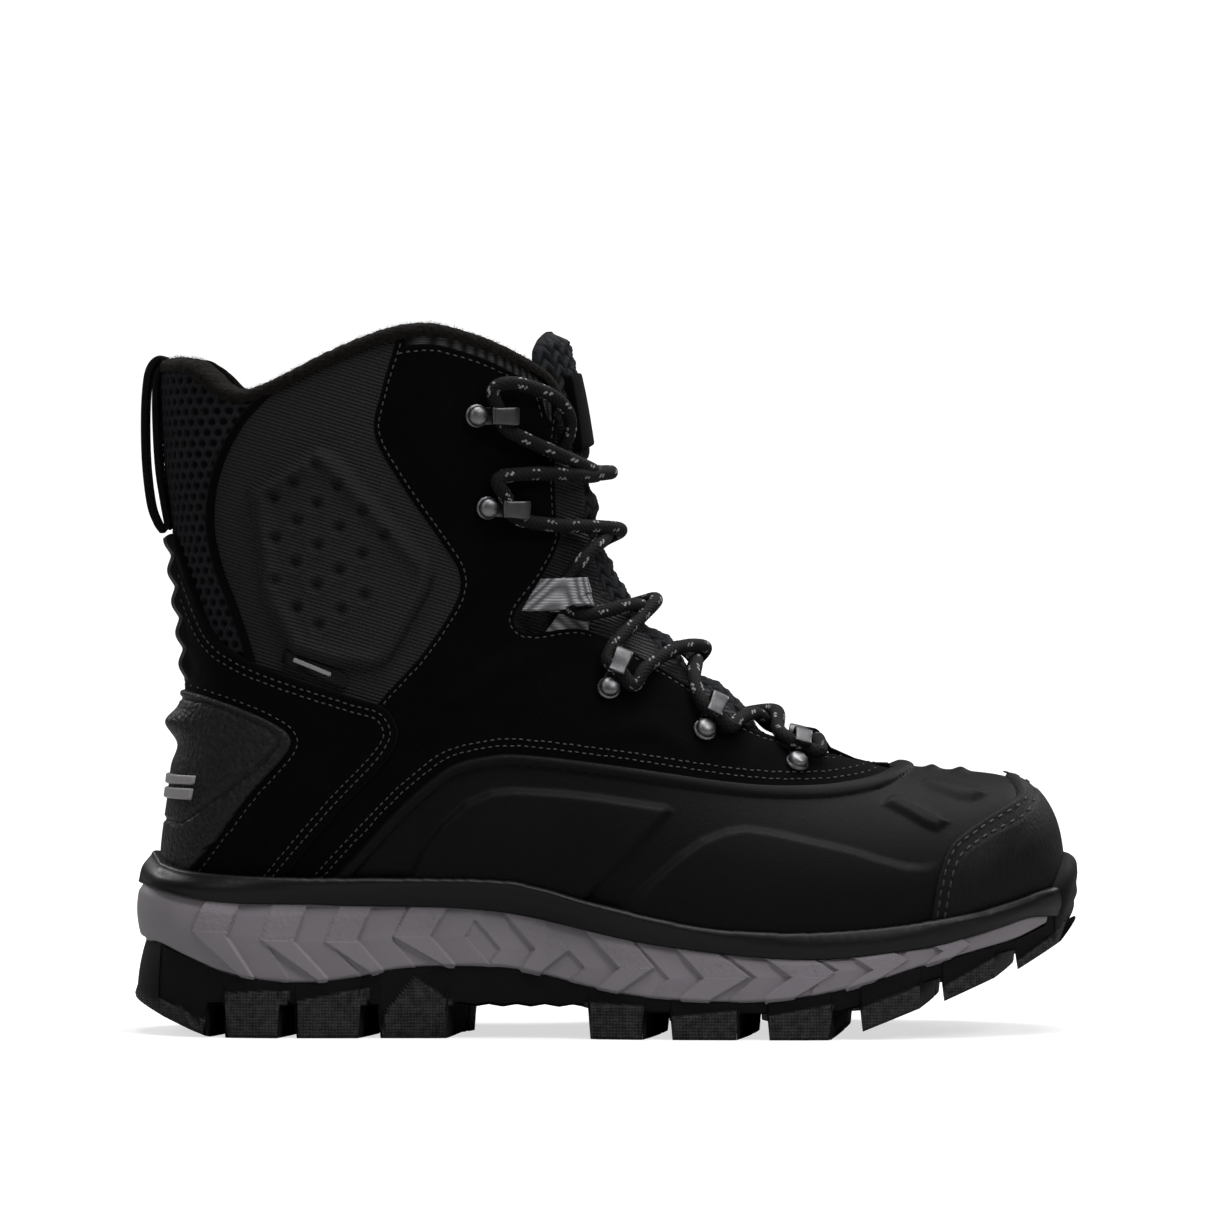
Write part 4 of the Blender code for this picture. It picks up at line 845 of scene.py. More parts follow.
    cap = np.vstack([spline(TOE_CAP_EDGE, 60), [(105.5, 10), (190, 10), (190, 120), (124, 120)]])
    channel = lambda x, y, z, f, t: -0.45 * smooth(2.2, 1.2, np.abs(f - 3.4)) + 0.5 * smooth(6.5, 14, f)
    skin("toe_bumper_cap", within(cap, rim=False), 3.9, 5.5, m["toe"], 0.9, channel, u=(0.4, 5.5),
         replaces=["toe_cap"])
    label = [(-107.6, 124.6), (-86.6, 115.6), (-86.2, 120.6), (-106.4, 129.0)]
    skin("label_tab", within(label, side_only(-1)), 2.0, 3.0, m["webbing"], 0.4, u=(8.5, 13), t=(-0.9, -0.4),
         step=0.6, replaces=["side_label"])
    dash = [(-103.5, 124.8), (-91.5, 119.8), (-91.2, 121.2), (-103.1, 126.3)]
    skin("label_dash", within(dash, side_only(-1)), 2.9, 3.2, m["badge"], 0.3, u=(8.5, 13), t=(-0.9, -0.4),
         step=0.5)

    def lining_region(x, y, z, t):
        gap = np.vstack([[(82, 70), (52, 78), (20, 103), (-2, 124), (-24, 160), (-34, 178), (-36, 196),
                          (-37, 216), (-38, 260), (60, 260), (60, 165), (95, 110)]])
        open_front = np.maximum(-inside(x, z, gap), np.abs(y - MIDLINE) - 29)
        return np.minimum(np.minimum(inside(x, z, BELOW_COLLAR) + 3, z - feather_z(x) + 1), open_front)

    lining = skin("sock_lining", lining_region, -5.0, -5.0, m["lining"], 0.5, u=(3.5, 14.98), step=2.0,
                  replaces=["bootie_lining"])
    sink_to_depth(lining)


def sink_to_depth(obj):
    """Moves a sheet that lies 5 mm under the lasted surface to the depth that the padding gives it."""
    co, normals = read_points(obj.data)
    u, _ = rib_at(co[:, [0, 2]])
    depth = np.interp(u, *zip(*LINING_DEPTH))
    centre = np.where(co[:, 2:] > 112, np.column_stack([np.full((len(co), 2), (-85.0, MIDLINE)), co[:, 2]]),
                      co.mean(0))
    inward = centre - co
    flip = np.sign((normals * inward).sum(1))[:, None]
    flip[flip == 0] = 1
    co += normals * flip * (depth - 5.0)[:, None]
    write_points(obj.data, co)


def hexes(a, b):
    """Height of a spacer mesh with round holes in staggered rows, from 0 to 1."""
    pitch = 4.1
    row = np.round(b / (pitch * 0.86))
    centre = (np.round(a / pitch - 0.5 * (row % 2)) + 0.5 * (row % 2)) * pitch
    hole = np.hypot(a - centre, (b - row * pitch * 0.86) * 1.05)
    strands = 0.5 + 0.5 * np.cos(2 * np.pi * (a + b * 0.6) / 1.3)
    return smooth(0.8, 1.75, hole) * (0.72 + 0.28 * strands)


def cables(a, b):
    """Height of a cable knit: columns of leaves that lean to both sides, from 0 to 1."""
    width, pitch = 5.2, 4.6
    column = np.floor(a / width)
    across = a / width - column - 0.5
    lean = b + np.abs(across) * 7.5 + 2.3 * (column % 2)
    leaf = 0.5 + 0.5 * np.cos(2 * np.pi * lean / pitch)
    seam = smooth(0.0, 0.16, 0.5 - np.abs(across)) * smooth(0.0, 0.10, np.abs(across) + 0.02)
    return np.clip(leaf ** 0.7 * (0.35 + 0.65 * seam), 0, 1)


def knitted(name, region, mat, u, t, high, pattern, step):
    """A knit skin: its loops are real relief, and their height is kept as a tone, which paints shade into the
    holes and hollows.
    """
    obj = skin(name, region, -0.2, high, mat, 1.0, None, u=u, t=t, step=step)
    mesh = obj.data
    co, normals = read_points(mesh)
    flat = np.zeros(len(co) * 3, np.float32)
    mesh.attributes["flat"].data.foreach_get("vector", flat)
    flat = flat.reshape(-1, 3) * 1000
    around = np.sign(co[:, 1] - MIDLINE) * np.hypot(co[:, 1] - MIDLINE, co[:, 0] + 147)
    loops = pattern(around, co[:, 2])
    margin = np.clip(flat[:, 2] / 2.0, 0, 1)
    outward = np.sign((normals[:, :2] * (co[:, :2] - (-60, MIDLINE))).sum(1))
    outward[outward == 0] = 1
    co += normals * (outward * (loops - 0.75) * 1.5 * margin)[:, None]
    tone = mesh.attributes.new("tone", "FLOAT_VECTOR", "POINT")
    tone.data.foreach_set("vector", np.repeat(loops, 3).astype(np.float32))
    write_points(mesh, co)
    return obj


def build_collar(m):
    """The fleece edge rolls over the top of the padding, from outside the skins to the lining."""
    line = resample(spline(COLLAR, 300)[:-1], 0.1)
    line = line[line[:, 0] > COLLAR_BACK]
    profile = [(2.5, -3.0), (2.9, -1.6), (2.7, -0.2), (1.6, 0.9), (-0.5, 1.4), (-3.5, 1.5), (-6.5, 0.8),
               (-8.6, -1.2), (-9.3, -4.5), (-9.4, -9.0)]
    profile = spline(profile, 26)
    for name, side in SIDES.items():
        points, normal = on_surface(line, side, 0.0)
        run = np.cumsum(np.linalg.norm(np.diff(points, axis=0), axis=1))
        picked = np.append(np.unique(np.searchsorted(run, np.arange(0, run[-1] - 0.6, 1.2))), len(points) - 1)
        points, normal = points[picked], normal[picked]
        along = unit(np.gradient(points, axis=0))
        up = np.cross(along, normal)
        up = unit(up * np.sign(up[:, 2])[:, None])
        start = smooth(0, 16, np.arange(len(points)) * 1.2)[:, None]
        a = np.where(profile[:, 0] < 0, profile[:, 0] * (0.25 + 0.75 * start), profile[:, 0])
        b = profile[:, 1][None, :] * np.ones_like(a)
        fuzz = np.sin(np.arange(len(points)) * 1.7)[:, None] * np.sin(np.arange(26) * 2.1)[None, :] * 0.15
        rows = points[:, None] + normal[:, None] * (a + fuzz)[..., None] + up[:, None] * (b + fuzz)[..., None]
        mesh_object("fleece_edge_" + name, rows.reshape(-1, 3), grid_faces(len(points), 26), m["fleece"],
                    replaces=["collar_binding"] if side < 0 else ())
        fibres("fleece_pile_" + name, rows[:, 1:22].reshape(-1, 3), m["fleece"])


def fibres(name, points, mat, count=9000):
    """Short curled fibres that stand on the fleece."""
    rng = np.random.default_rng(len(points))
    pick = points[rng.integers(0, len(points), count)] + rng.normal(0, 0.45, (count, 3))
    lean = rng.normal(0, 1, (count, 3))
    lean[:, 2] += 0.5
    lean = unit(lean)
    side = unit(np.cross(lean, rng.normal(0, 1, (count, 3))))
    length = rng.uniform(0.5, 1.15, count)[:, None]
    base = 0.07
    tips = pick + lean * length + side * 0.25 * length
    corners = np.stack([pick - side * base, pick + side * base, tips], 1)
    mesh_object(name, corners.reshape(-1, 3), np.arange(count * 3).reshape(-1, 3), mat)


# Sole


def build_sole(m):
    """Midsole with its chevrons, bead, outsole wall, lugs and tread."""
    bottom_line = spline(MIDSOLE_BOTTOM, 400)
    rim = sole_rim(SOLE_EXTRA, SOLE_BACK, SOLE_TIP)
    x, y = rim.T
    top = midsole_top(x)
    low = np.interp(x, bottom_line[:, 0], bottom_line[:, 1])
    rows = 56
    v = np.linspace(0, 1, rows)[:, None]
    z = low + (top - low) * v
    xx, yy = np.broadcast_to(x, z.shape), np.broadcast_to(y, z.shape)
    out = np.gradient(rim, axis=0)
    out = unit(np.column_stack([out[:, 1], -out[:, 0]]))
    if (out[:, 0] * x).sum() < 0:
        out = -out
    step, rough = chevrons(xx, z)
    bulge = 1.5 * np.sin(np.pi * np.clip(v, 0, 1)) ** 0.8 * smooth(-90, -150, xx) - 1.2 * smooth(0.8, 1, v)
    tuck = -1.0 * (1 - np.sqrt(np.clip(1 - (1 - np.minimum(v * (top - low), 1.0)) ** 2, 0, 1)))
    shift = step + bulge - 0.2 + tuck
    wall = np.stack([xx + out[:, 0] * shift, yy + out[:, 1] * shift, z], -1)
    inner = np.stack([x - out[:, 0] * 24, y - out[:, 1] * 24, top - 0.2], -1)[None]
    under = np.stack([x - out[:, 0] * 6, y - out[:, 1] * 6, low - 2.4], -1)[None]
    tucked = np.stack([x - out[:, 0] * 2.6, y - out[:, 1] * 2.6, low - 2.4], -1)[None]
    sheet = np.concatenate([under, tucked, wall, inner])
    keep = grid_faces(rows + 3, len(x), True)
    ahead = sheet.reshape(-1, 3)[keep][..., 0].max(1) > 149.5
    tone = np.zeros(sheet.shape[:2])
    tone[2:-1] = rough
    mesh_object("midsole_wall", sheet.reshape(-1, 3), keep[~ahead], m["foam"],
                replaces=["midsole"], data={"tone": np.repeat(tone.ravel()[:, None], 3, 1)})
    build_bead(m)
    build_tread(m, bottom_line)

    def bumper_region(x, y, z, t):
        return inside(x, z, BUMPER)

    def bumper_relief(x, y, z, f, t):
        return 0.3 * np.cos(z * 2 * np.pi / 6.0) * smooth(2.0, 5.0, f)

    skin("toe_guard", bumper_region, 4.5, 10.2, m["tread"], 2.2, bumper_relief, u=(0.2, 3.2), step=0.7)


def midsole_top(x):
    """Height where the foam's side ends under the bead."""
    return np.minimum(feather_z(np.clip(x, -144.7, 147)) - 1.3, np.interp(x, *zip(*MIDSOLE_TOP), right=99))


def chevrons(x, z):
    """How far the midsole's side stands out, and where its skin is coarse."""
    def edge(line):
        line = np.asarray(line, float)[::-1]
        return np.interp(z, line[:, 1], line[:, 0])

    lift = np.zeros(x.shape)
    coarse = np.zeros(x.shape)
    for bands, way in ((BANDS_REAR, 1), (BANDS_FRONT, -1)):
        for left, right in bands:
            low, high = edge(left), edge(right)
            band = smooth(-0.25, 0.25, x - low) * smooth(-0.25, 0.25, high - x)
            lift = np.maximum(lift, 1.45 * band)
            coarse = np.maximum(coarse, band * (z > left[1][1]))
            ahead = (x - high if way > 0 else low - x)
            slope = np.clip(ahead / 11.5, 0, 1) * (ahead > 0) * (ahead < 11.5)
            lift = np.maximum(lift, 0.85 * slope * smooth(14, 22, z + 0.12 * np.maximum(x, 0)))
    return lift, coarse


def build_bead(m):
    """The rubber bead between the upper and the midsole, swept from the skins out to the edge of the sole."""
    rim = sole_rim(SOLE_EXTRA, SOLE_BACK, SOLE_TIP)
    for name, side in SIDES.items():
        line = resample(spline(RAND_TOP, 300), 1.0)
        line = line[(line[:, 0] > -143.5) & (line[:, 0] < 144.5)]
        top, normal = on_surface(line, side, 0.0)
        back = np.array([[-145.6, MIDLINE, 60.3]])
        top, normal = np.vstack([back, top]), np.vstack([[[-1.0, 0, 0]], normal])
        flat = unit(normal * [1, 1, 0])
        reach = (top + flat * 9)[:, None, :2] - rim[None]
        foot = rim[(reach ** 2).sum(-1).argmin(1)]
        for _ in range(4):
            foot[1:-1] = (foot[:-2] + 2 * foot[1:-1] + foot[2:]) / 4
        base = np.column_stack([foot, midsole_top(foot[:, 0]) - 0.5])
        up = np.array([0, 0, 1.0])
        high = top[:, 2] - base[:, 2]
        shape = [top + flat * 3.4, top + flat * 6.0 + up * 0.5, top + flat * 7.6 + up * 0.2,
                 top + flat * 8.5 - up * 1.2]
        outer = base + flat * 0.9
        for share, bulge in ((0.60, 0.7), (0.38, 0.8), (0.15, 0.35)):
            spot = outer * (1 - share) + (top + flat * 8.6) * share
            spot[:, 2] = base[:, 2] + high * share
            shape.append(spot + flat * bulge)
        shape += [outer + up * 0.1, base - flat * 0.6 - up * 0.3, base - flat * 4.0 + up * 0.3]
        rows = np.stack([catmull(np.array([p[i] for p in shape]), np.linspace(0, len(shape) - 1, 40))
                         for i in range(len(top))])
        mesh_object("welt_bead_" + name, rows.reshape(-1, 3), grid_faces(len(top), 40), m["bead"],
                    replaces=["foxing_strip"] if side < 0 else ())


def sole_rim(extra, back, tip, spacing=0.5):
    """The outline of the sole in plan as evenly spaced points."""
    turn = np.linspace(0, 2 * np.pi, 1400)
    x = (back + tip) / 2 - (tip - back) / 2 * np.cos(turn)
    half = plan_half(x, back, tip, extra) * np.sign(np.sin(turn + 1e-9))
    return resample(np.column_stack([x, midline(x) + half]), spacing)[:-1]


def build_tread(m, top_line):
    """The tread is a height field in plan, with lugs cut by swept gaps; its wall rises to the midsole."""
    back, tip = TREAD_BACK, TREAD_TIP
    xs = (back + tip) / 2 - (tip - back) / 2 * np.cos(np.linspace(0, np.pi, 60))
    xs = np.unique(np.concatenate([xs, np.arange(back + 3, tip - 3, 0.8)]))
    ws = np.linspace(-1, 1, 130)
    xx, ww = (a.ravel() for a in np.meshgrid(xs, ws, indexing="ij"))
    data = np.column_stack([xx, ww, tread_gap(xx, ww)])
    tris = grid_faces(len(xs), len(ws))
    for level in (0.0, 0.9):
        data, tris = split(data, tris, level)
    x, w, gap = data.T
    half = plan_half(x, back, tip, TREAD_EXTRA)
    ground = np.interp(x, *zip(*GROUND))
    top = np.interp(x, top_line[:, 0], top_line[:, 1]) - 0.3 + 13.0 * smooth(146.6, 149.0, x)
    depth = np.interp(x, [-160, -130, -60, -52, -8, 0, 80, 130, 150],
                      [6, 11, 10.5, 10.5, 10.5, 9, 8.5, 7.5, 5])
    z = ground + smooth(0, 0.9, gap) * depth
    arch = smooth(-57, -50, x) * smooth(-3, -9, x)
    z = z + arch * (1.6 * np.abs(((x + 2) / 9.3) % 1 - 0.5))
    z = np.minimum(z, top - 1.5)
    lug = smooth(1.0, 0.2, gap)
    pull = 1.0 - 0.012 * (1 - lug) * np.abs(w) ** 20
    y = midline(x) + w * half * pull
    points = np.column_stack([x, y, z])
    ends = np.concatenate([tris[:, [0, 1]], tris[:, [1, 2]], tris[:, [2, 0]]])
    _, index, count = np.unique(np.sort(ends, axis=1), axis=0, return_index=True, return_counts=True)
    border = ends[index[count == 1]]
    rows = 24
    used, local = np.unique(border, return_inverse=True)
    local = local.reshape(-1, 2)
    out = np.where(w[used] > 0, 1.0, -1.0)
    px, py, pz, pt = points[used, 0], points[used, 1], z[used], top[used]
    shape = []
    levels = np.concatenate([[0.0, 0.06], np.linspace(0.2, 1, rows - 2)])
    end_x = np.where(px < -150, -1.0, np.where(px > 150, 1.0, 0.0))
    heel = smooth(-146, -158, px)
    for v in levels:
        height = pz + (pt - pz) * v
        lift = lug_wall(px, height)
        shift = -0.8 * (1 - min(v / 0.06, 1)) + lift
        lean = heel * 3.4 * v ** 2
        tip_round = smooth(150, 158, px) * 3.0 * (1 - v) ** 3
        shape.append(np.column_stack([px + end_x * shift * 0.4 + lean - tip_round,
                                      py + out * shift * (np.abs(end_x) < 1), height]))
    wall = np.concatenate(shape)
    n = len(used)
    quads = []
    for r in range(rows - 1):
        a, b = local[:, 0] + r * n, local[:, 1] + r * n
        quads.append(np.concatenate([np.stack([a, b, b + n], 1), np.stack([a, b + n, a + n], 1)]))
    wall_tris = np.concatenate(quads) + len(points)
    everything = np.vstack([points, wall])
    # Tone for the tread colour: painted light on the lugs (0.4 on their bottoms, 1 where they stand proud on
    # the wall) and painted shade, 0, in the gaps.
    tone = np.concatenate([lug * 0.4, np.concatenate([(lug_wall(px, s[:, 2]) > -0.2) * 1.0 for s in shape])])
    across = np.where(np.arange(len(everything)) < len(points), everything[:, 1], everything[:, 2])
    flat = np.column_stack([everything[:, 0], across, everything[:, 2]]) / 1000
    obj = mesh_object("tread_block", everything, np.vstack([tris[:, ::-1], wall_tris]), m["tread"],
                      replaces=["outsole"],
                      data={"tone": np.repeat(tone[:, None], 3, 1), "flat": flat})
    obj.data.set_sharp_from_angle(angle=math.radians(32))


def lug_wall(x, z):
    """How far the wall of the tread stands out: lugs stand proud of a sunk ground."""
    lift = np.zeros(np.shape(x))
    for lug in LUGS:
        lift = np.maximum(lift, 1.9 * smooth(-0.2, 0.5, inside(np.asarray(x), np.asarray(z), lug)))
    return lift - 1.3


def tread_gap(x, w):
    """Distance into the nearest gap between lugs, in mm, and negative on a lug."""
    lean = 12.0 * (1 - np.abs(w)) - 3.0 * (1 - np.abs(w)) ** 2
    at = x - lean
    starts = [(-133.4, -126.6), (-109.4, -102.8), (-82.6, -75.0), (-53.6, -5.4), (11.6, 21.6), (42.6, 53.6),
              (73.4, 84.4), (103.4, 111.6), (128.6, 136.6)]
    gap = np.full(x.shape, -9.0)
    for low, high in starts:
        gap = np.maximum(gap, np.minimum(at - low, high - at))
    half = plan_half(x, TREAD_BACK, TREAD_TIP, TREAD_EXTRA)
    for place in (-0.34, 0.34):
        groove = 1.7 - np.abs((w - place) * half - 2.0 * np.sin(x / 13.0))
        gap = np.maximum(gap, np.minimum(groove, 128 - np.abs(x - 2)))
    centre_bar = np.minimum(2.0 - np.abs(at - 62), 0.30 * half - np.abs(w) * half)
    return np.maximum(gap, np.minimum(centre_bar, 1.0))


# Throat, hooks and lace


def surface_at_width(u, y):
    """Points of the front of the lasted surface at a distance y from the midline."""
    row = catmull(RIBS, u)
    s = row[..., 5] * (1 - (1 - (np.abs(y) / row[..., 4]) ** POWER) ** (1 / POWER))
    spot = row[..., :2] + (row[..., 2:4] - row[..., :2]) * s[..., None]
    return np.stack([spot[..., 0], midline(spot[..., 0]) + y, spot[..., 1]], -1)


def normal_at_width(u, y):
    """Normals of the front of the lasted surface, which point forwards and up."""
    du = surface_at_width(u + 0.02, y) - surface_at_width(u - 0.02, y)
    dy = surface_at_width(u, y + 0.3) - surface_at_width(u, y - 0.3)
    normal = unit(np.cross(dy, du))
    return normal * np.sign(normal[..., 0] + 0.4 * normal[..., 2])[..., None]


def build_tongue(m):
    """The padded knit tongue, pressed in by each crossing of the lace, and the suede patch on its top."""
    table = np.linspace(5.7, 14.25, 900)
    path = catmull(RIBS, table)[:, :2]
    run = np.concatenate([[0], np.cumsum(np.linalg.norm(np.diff(path, axis=0), axis=1))])
    stops = np.linspace(0, run[-1], len(resample(path, 0.55)))
    u = np.interp(stops, run, table)
    half = np.interp(u, (5.7, 6.4, 12.6, 13.2, 13.6, 13.9, 14.1, 14.2, 14.25),
                     (9, 17, 17.5, 24, 24.4, 22.5, 19, 15, 11))
    across = 2 * np.pi * np.arange(150) / 150
    flat = np.sign(np.cos(across)) * np.abs(np.cos(across)) ** 0.75
    y = flat[None, :] * half[:, None]
    front = np.sin(across)[None, :] >= 0
    uu = np.broadcast_to(u[:, None], y.shape)
    base = surface_at_width(uu, np.clip(y, -30, 30))
    normal = normal_at_width(uu, y)
    crossings = np.array([run[np.abs(path - c).sum(1).argmin()] for c in
                          ((54.3, 100.3), (29.6, 122), (12.7, 140), (-1.4, 167.8), (-4.7, 187.8),
                           (-7.5, 205))])
    ahead = np.abs(stops[:, None] - crossings[None]).min(1)
    puff = smooth(1.5, 11.0, ahead)[:, None] * (1 - 0.55 * np.abs(flat[None]) ** 2)
    round_off = np.abs(np.sin(across))[None] ** 0.55
    edge = smooth(0, 6, stops)[:, None] * smooth(0, 5, stops[-1] - stops)[:, None] * 0.85 + 0.15
    loops = cables(y + 60, np.broadcast_to(stops[:, None], y.shape))
    relief = (puff * 3.0 - 0.5) + (loops - 0.7) * 1.5
    outer = -4.9 + 3.1 * round_off * edge + front * relief * edge * round_off
    inner = -4.9 - 3.0 * round_off * edge
    offset = np.where(front, outer, inner)
    points = base + normal * offset[..., None]
    # The front's tone is the cable loops' height, which paints shade between the leaves; the back keeps an
    # even tone.
    tone = np.where(front, loops * 1.7, 0.5)
    rows, columns = y.shape
    tris = grid_faces(rows, columns, True)
    ends = [row * columns + np.array([(0, j, j + 1) for j in range(1, columns - 1)]) for row in (0, rows - 1)]
    tongue = mesh_object("quilted_tongue", points.reshape(-1, 3),
                         np.vstack([tris, ends[0], ends[1][:, ::-1]]), m["mesh"], body=None,
                         replaces=["tongue_lower", "tongue_upper"],
                         data={"tone": np.repeat(tone.reshape(-1, 1), 3, 1),
                               "flat": points.reshape(-1, 3) / 1000})
    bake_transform(tongue)
    uu, yy = np.meshgrid(np.linspace(12.15, 13.4, 40), np.linspace(-15.5, 15.5, 60), indexing="ij")
    rim = np.minimum(np.minimum((uu - 12.15) * 20, (13.4 - uu) * 20), 15.5 - np.abs(yy))
    height = 0.2 + 1.9 * np.sqrt(np.clip(1 - (1 - np.clip(rim / 1.2, 0, 1)) ** 2, 0, 1))
    patch = surface_at_width(uu, yy) + normal_at_width(uu, yy) * (height - 0.6 * (rim <= 0))[..., None]
    mesh_object("tongue_patch", patch.reshape(-1, 3), grid_faces(40, 60), m["suede"], body="tongue",
                replaces=["tongue_cap"], data={"flat": patch.reshape(-1, 3) / 1000})


def build_gusset(m):
    """The folded mesh between the tongue and the notches of the eyestay."""
    notch = [(-12, 204), (-26, 204), (-26, 170), (-27, 158), (-38, 143), (-36, 128), (-20, 124), (0, 126),
             (16, 112), (40, 96), (62, 86), (66, 100), (40, 118), (20, 140), (2, 160), (-2, 180)]
    for name, side in SIDES.items():
        region = lambda x, y, z, t, side=side: np.minimum.reduce([
            inside(x, z, notch), np.abs(y - midline(x)) - 12.0, 50 * side * t])
        skin("gusset_" + name, region, -2.2, -0.6, m["textile"], 0.8,
             lambda x, y, z, f, t: 0.5 * np.sin((x + z) / 3.0) - 0.3, u=(5.5, 13.9),
             t=(-0.6, 0) if side < 0 else (0, 0.6))


def copy_node(node, name, mat, bevel):
    """A CAD node's shape with its edges rounded."""
    source = NODES[node]
    obj = bpy.data.objects.new(name, source.data.copy())
    obj.data.materials.clear()
    obj.data.materials.append(mat)
    bpy.context.scene.collection.objects.link(obj)
    weld = bmesh.new()
    weld.from_mesh(obj.data)
    bmesh.ops.remove_doubles(weld, verts=weld.verts, dist=1e-5)
    bmesh.ops.dissolve_limit(weld, angle_limit=math.radians(2), verts=weld.verts, edges=weld.edges)
    weld.to_mesh(obj.data)
    weld.free()
    made = obj.modifiers.new("round", "BEVEL")
    made.width = bevel
    made.segments = 3
    made.limit_method = "ANGLE"
    made.angle_limit = math.radians(28)
    obj.data.shade_smooth()
    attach(obj, "boot")
    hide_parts(node)
    return obj


def frame_on(place, side, toward):
    """A point 2.3 mm above the surface, its normal, and the direction over the surface to another point."""
    step = np.asarray(toward, float) / np.hypot(*toward)
    spots, normals = on_surface(np.array([place, np.asarray(place) + step * 2]), side, 2.3)
    along = spots[1] - spots[0]
    along -= normals[0] * along.dot(normals[0])
    return spots[0], normals[0], along / np.linalg.norm(along)


def ribbon(name, path, half_widths, thickness, across, mat, replaces=(), body="boot"):
    """A flat band swept along a path, with rounded edges."""
    path = np.asarray(path, float)
    along = unit(np.gradient(path, axis=0))
    across = np.broadcast_to(across, path.shape)
    up = unit(np.cross(across, along))
    turns = 2 * np.pi * np.arange(28) / 28
    a = np.sign(np.cos(turns)) * np.abs(np.cos(turns)) ** 0.35
    b = np.sign(np.sin(turns)) * np.abs(np.sin(turns)) ** 0.6
    half = np.broadcast_to(half_widths, len(path))
    rows = (path[:, None] + across[:, None] * (a[None, :] * half[:, None])[..., None]
            + up[:, None] * (b * thickness / 2)[None, :, None])
    for end, way in ((0, -1), (-1, 1)):
        cap = path[end] + along[end] * thickness * 0.3 * way
        rows = np.concatenate([np.tile(cap, (1, 28, 1)), rows] if end == 0
                              else [rows, np.tile(cap, (1, 28, 1))])
    return mesh_object(name, rows.reshape(-1, 3), grid_faces(len(rows), 28, True), mat, body=body,
                       replaces=replaces)


HOOK_PATH = [(-2.6, 0.6), (0, 0.6), (4, 0.6), (9, 0.6), (11.2, 0.8), (12.7, 1.9), (13.3, 3.6), (12.9, 5.3),
             (11.6, 6.5), (9.5, 6.9), (6.5, 6.8), (4.6, 6.9), (3.7, 7.2)]
HOOK_HALVES = [3.0, 3.0, 2.9, 2.7, 2.7, 2.8, 2.9, 3.0, 3.0, 2.9, 2.7, 2.8, 2.9]
HOOK_WAYS = [(0.12, 1.0), (0.32, 0.95), (0.42, 0.9), (1.0, -0.03), (1.0, -0.06)]


def build_hooks(m):
    """Lace hooks with their rivets, webbing folds, keeper tab and heel loop."""
    dome = np.array([(3.9, -0.9), (3.9, -0.4), (3.75, -0.15), (3.35, 0.0), (3.35, 0.5), (3.3, 0.9),
                     (3.15, 1.5), (2.8, 2.05), (2.2, 2.45), (1.4, 2.7), (0.7, 2.8), (0.02, 2.82)])
    turns = 2 * np.pi * np.arange(48) / 48
    steps = np.linspace(0, len(HOOK_PATH) - 1, 60)
    profile, halves = catmull(HOOK_PATH, steps), np.interp(steps, range(len(HOOK_HALVES)), HOOK_HALVES)
    for name, side in SIDES.items():
        for i, (place, way) in enumerate(zip(HOOKS, HOOK_WAYS), 1):
            spot, normal, along = frame_on(place, side, way)
            across = np.cross(normal, along)
            path = spot + profile[:, :1] * along + profile[:, 1:] * normal
            ribbon(f"lace_hook_{name}_{i}", path, halves, 1.25, across, m["hook_metal"],
                   [f"hook_{name}_{i}"])
            turn = np.cos(turns)[:, None] * along + np.sin(turns)[:, None] * across
            ring = np.stack([spot + normal * (h + 1.6) + r * turn for r, h in dome])
            mesh_object(f"stud_{name}_{i}", ring.reshape(-1, 3), grid_faces(len(dome), 48, True), m["metal"],
                        replaces=[f"rivet_{name}_{i}"])
        webbing_fold(m, name, side)
    tab = copy_node("throat_keeper", "keeper_tab", m["suede"], 0.0006)
    for vertex in tab.data.vertices:
        vertex.co.z -= 0.0062 * math.sin(math.pi * min(max((vertex.co.x - 0.0705) / 0.0260, 0.0), 1.0)) ** 0.8
    outer = spline([(-148.4, 226.0), (-151.0, 226.3), (-153.4, 224.2), (-154.9, 219.5), (-155.7, 208),
                    (-155.4, 192), (-153.8, 178), (-151.6, 171.5), (-149.6, 168.5)], 60)
    inner = spline([(-147.9, 224.5), (-150.5, 222.5), (-151.8, 217), (-151.9, 206), (-151.0, 190),
                    (-149.2, 178), (-147.6, 169.5)], 50)
    for name, line, bears in (("heel_loop_outer", outer, ["pull_loop"]), ("heel_loop_inner", inner, ())):
        path = np.column_stack([line[:, 0], np.full(len(line), MIDLINE), line[:, 1]])
        ribbon(name, path, 10.0, 2.5, (0, 1.0, 0), m["webbing"], bears)


def between(corners, a, b):
    """Points inside four corners; a runs over their first index and b over their second."""
    corners = np.asarray(corners)
    spots = (corners[0, 0] * ((1 - a) * (1 - b))[..., None] + corners[1, 0] * (a * (1 - b))[..., None]
             + corners[0, 1] * ((1 - a) * b)[..., None] + corners[1, 1] * (a * b)[..., None])
    return spots.reshape(-1, 2)


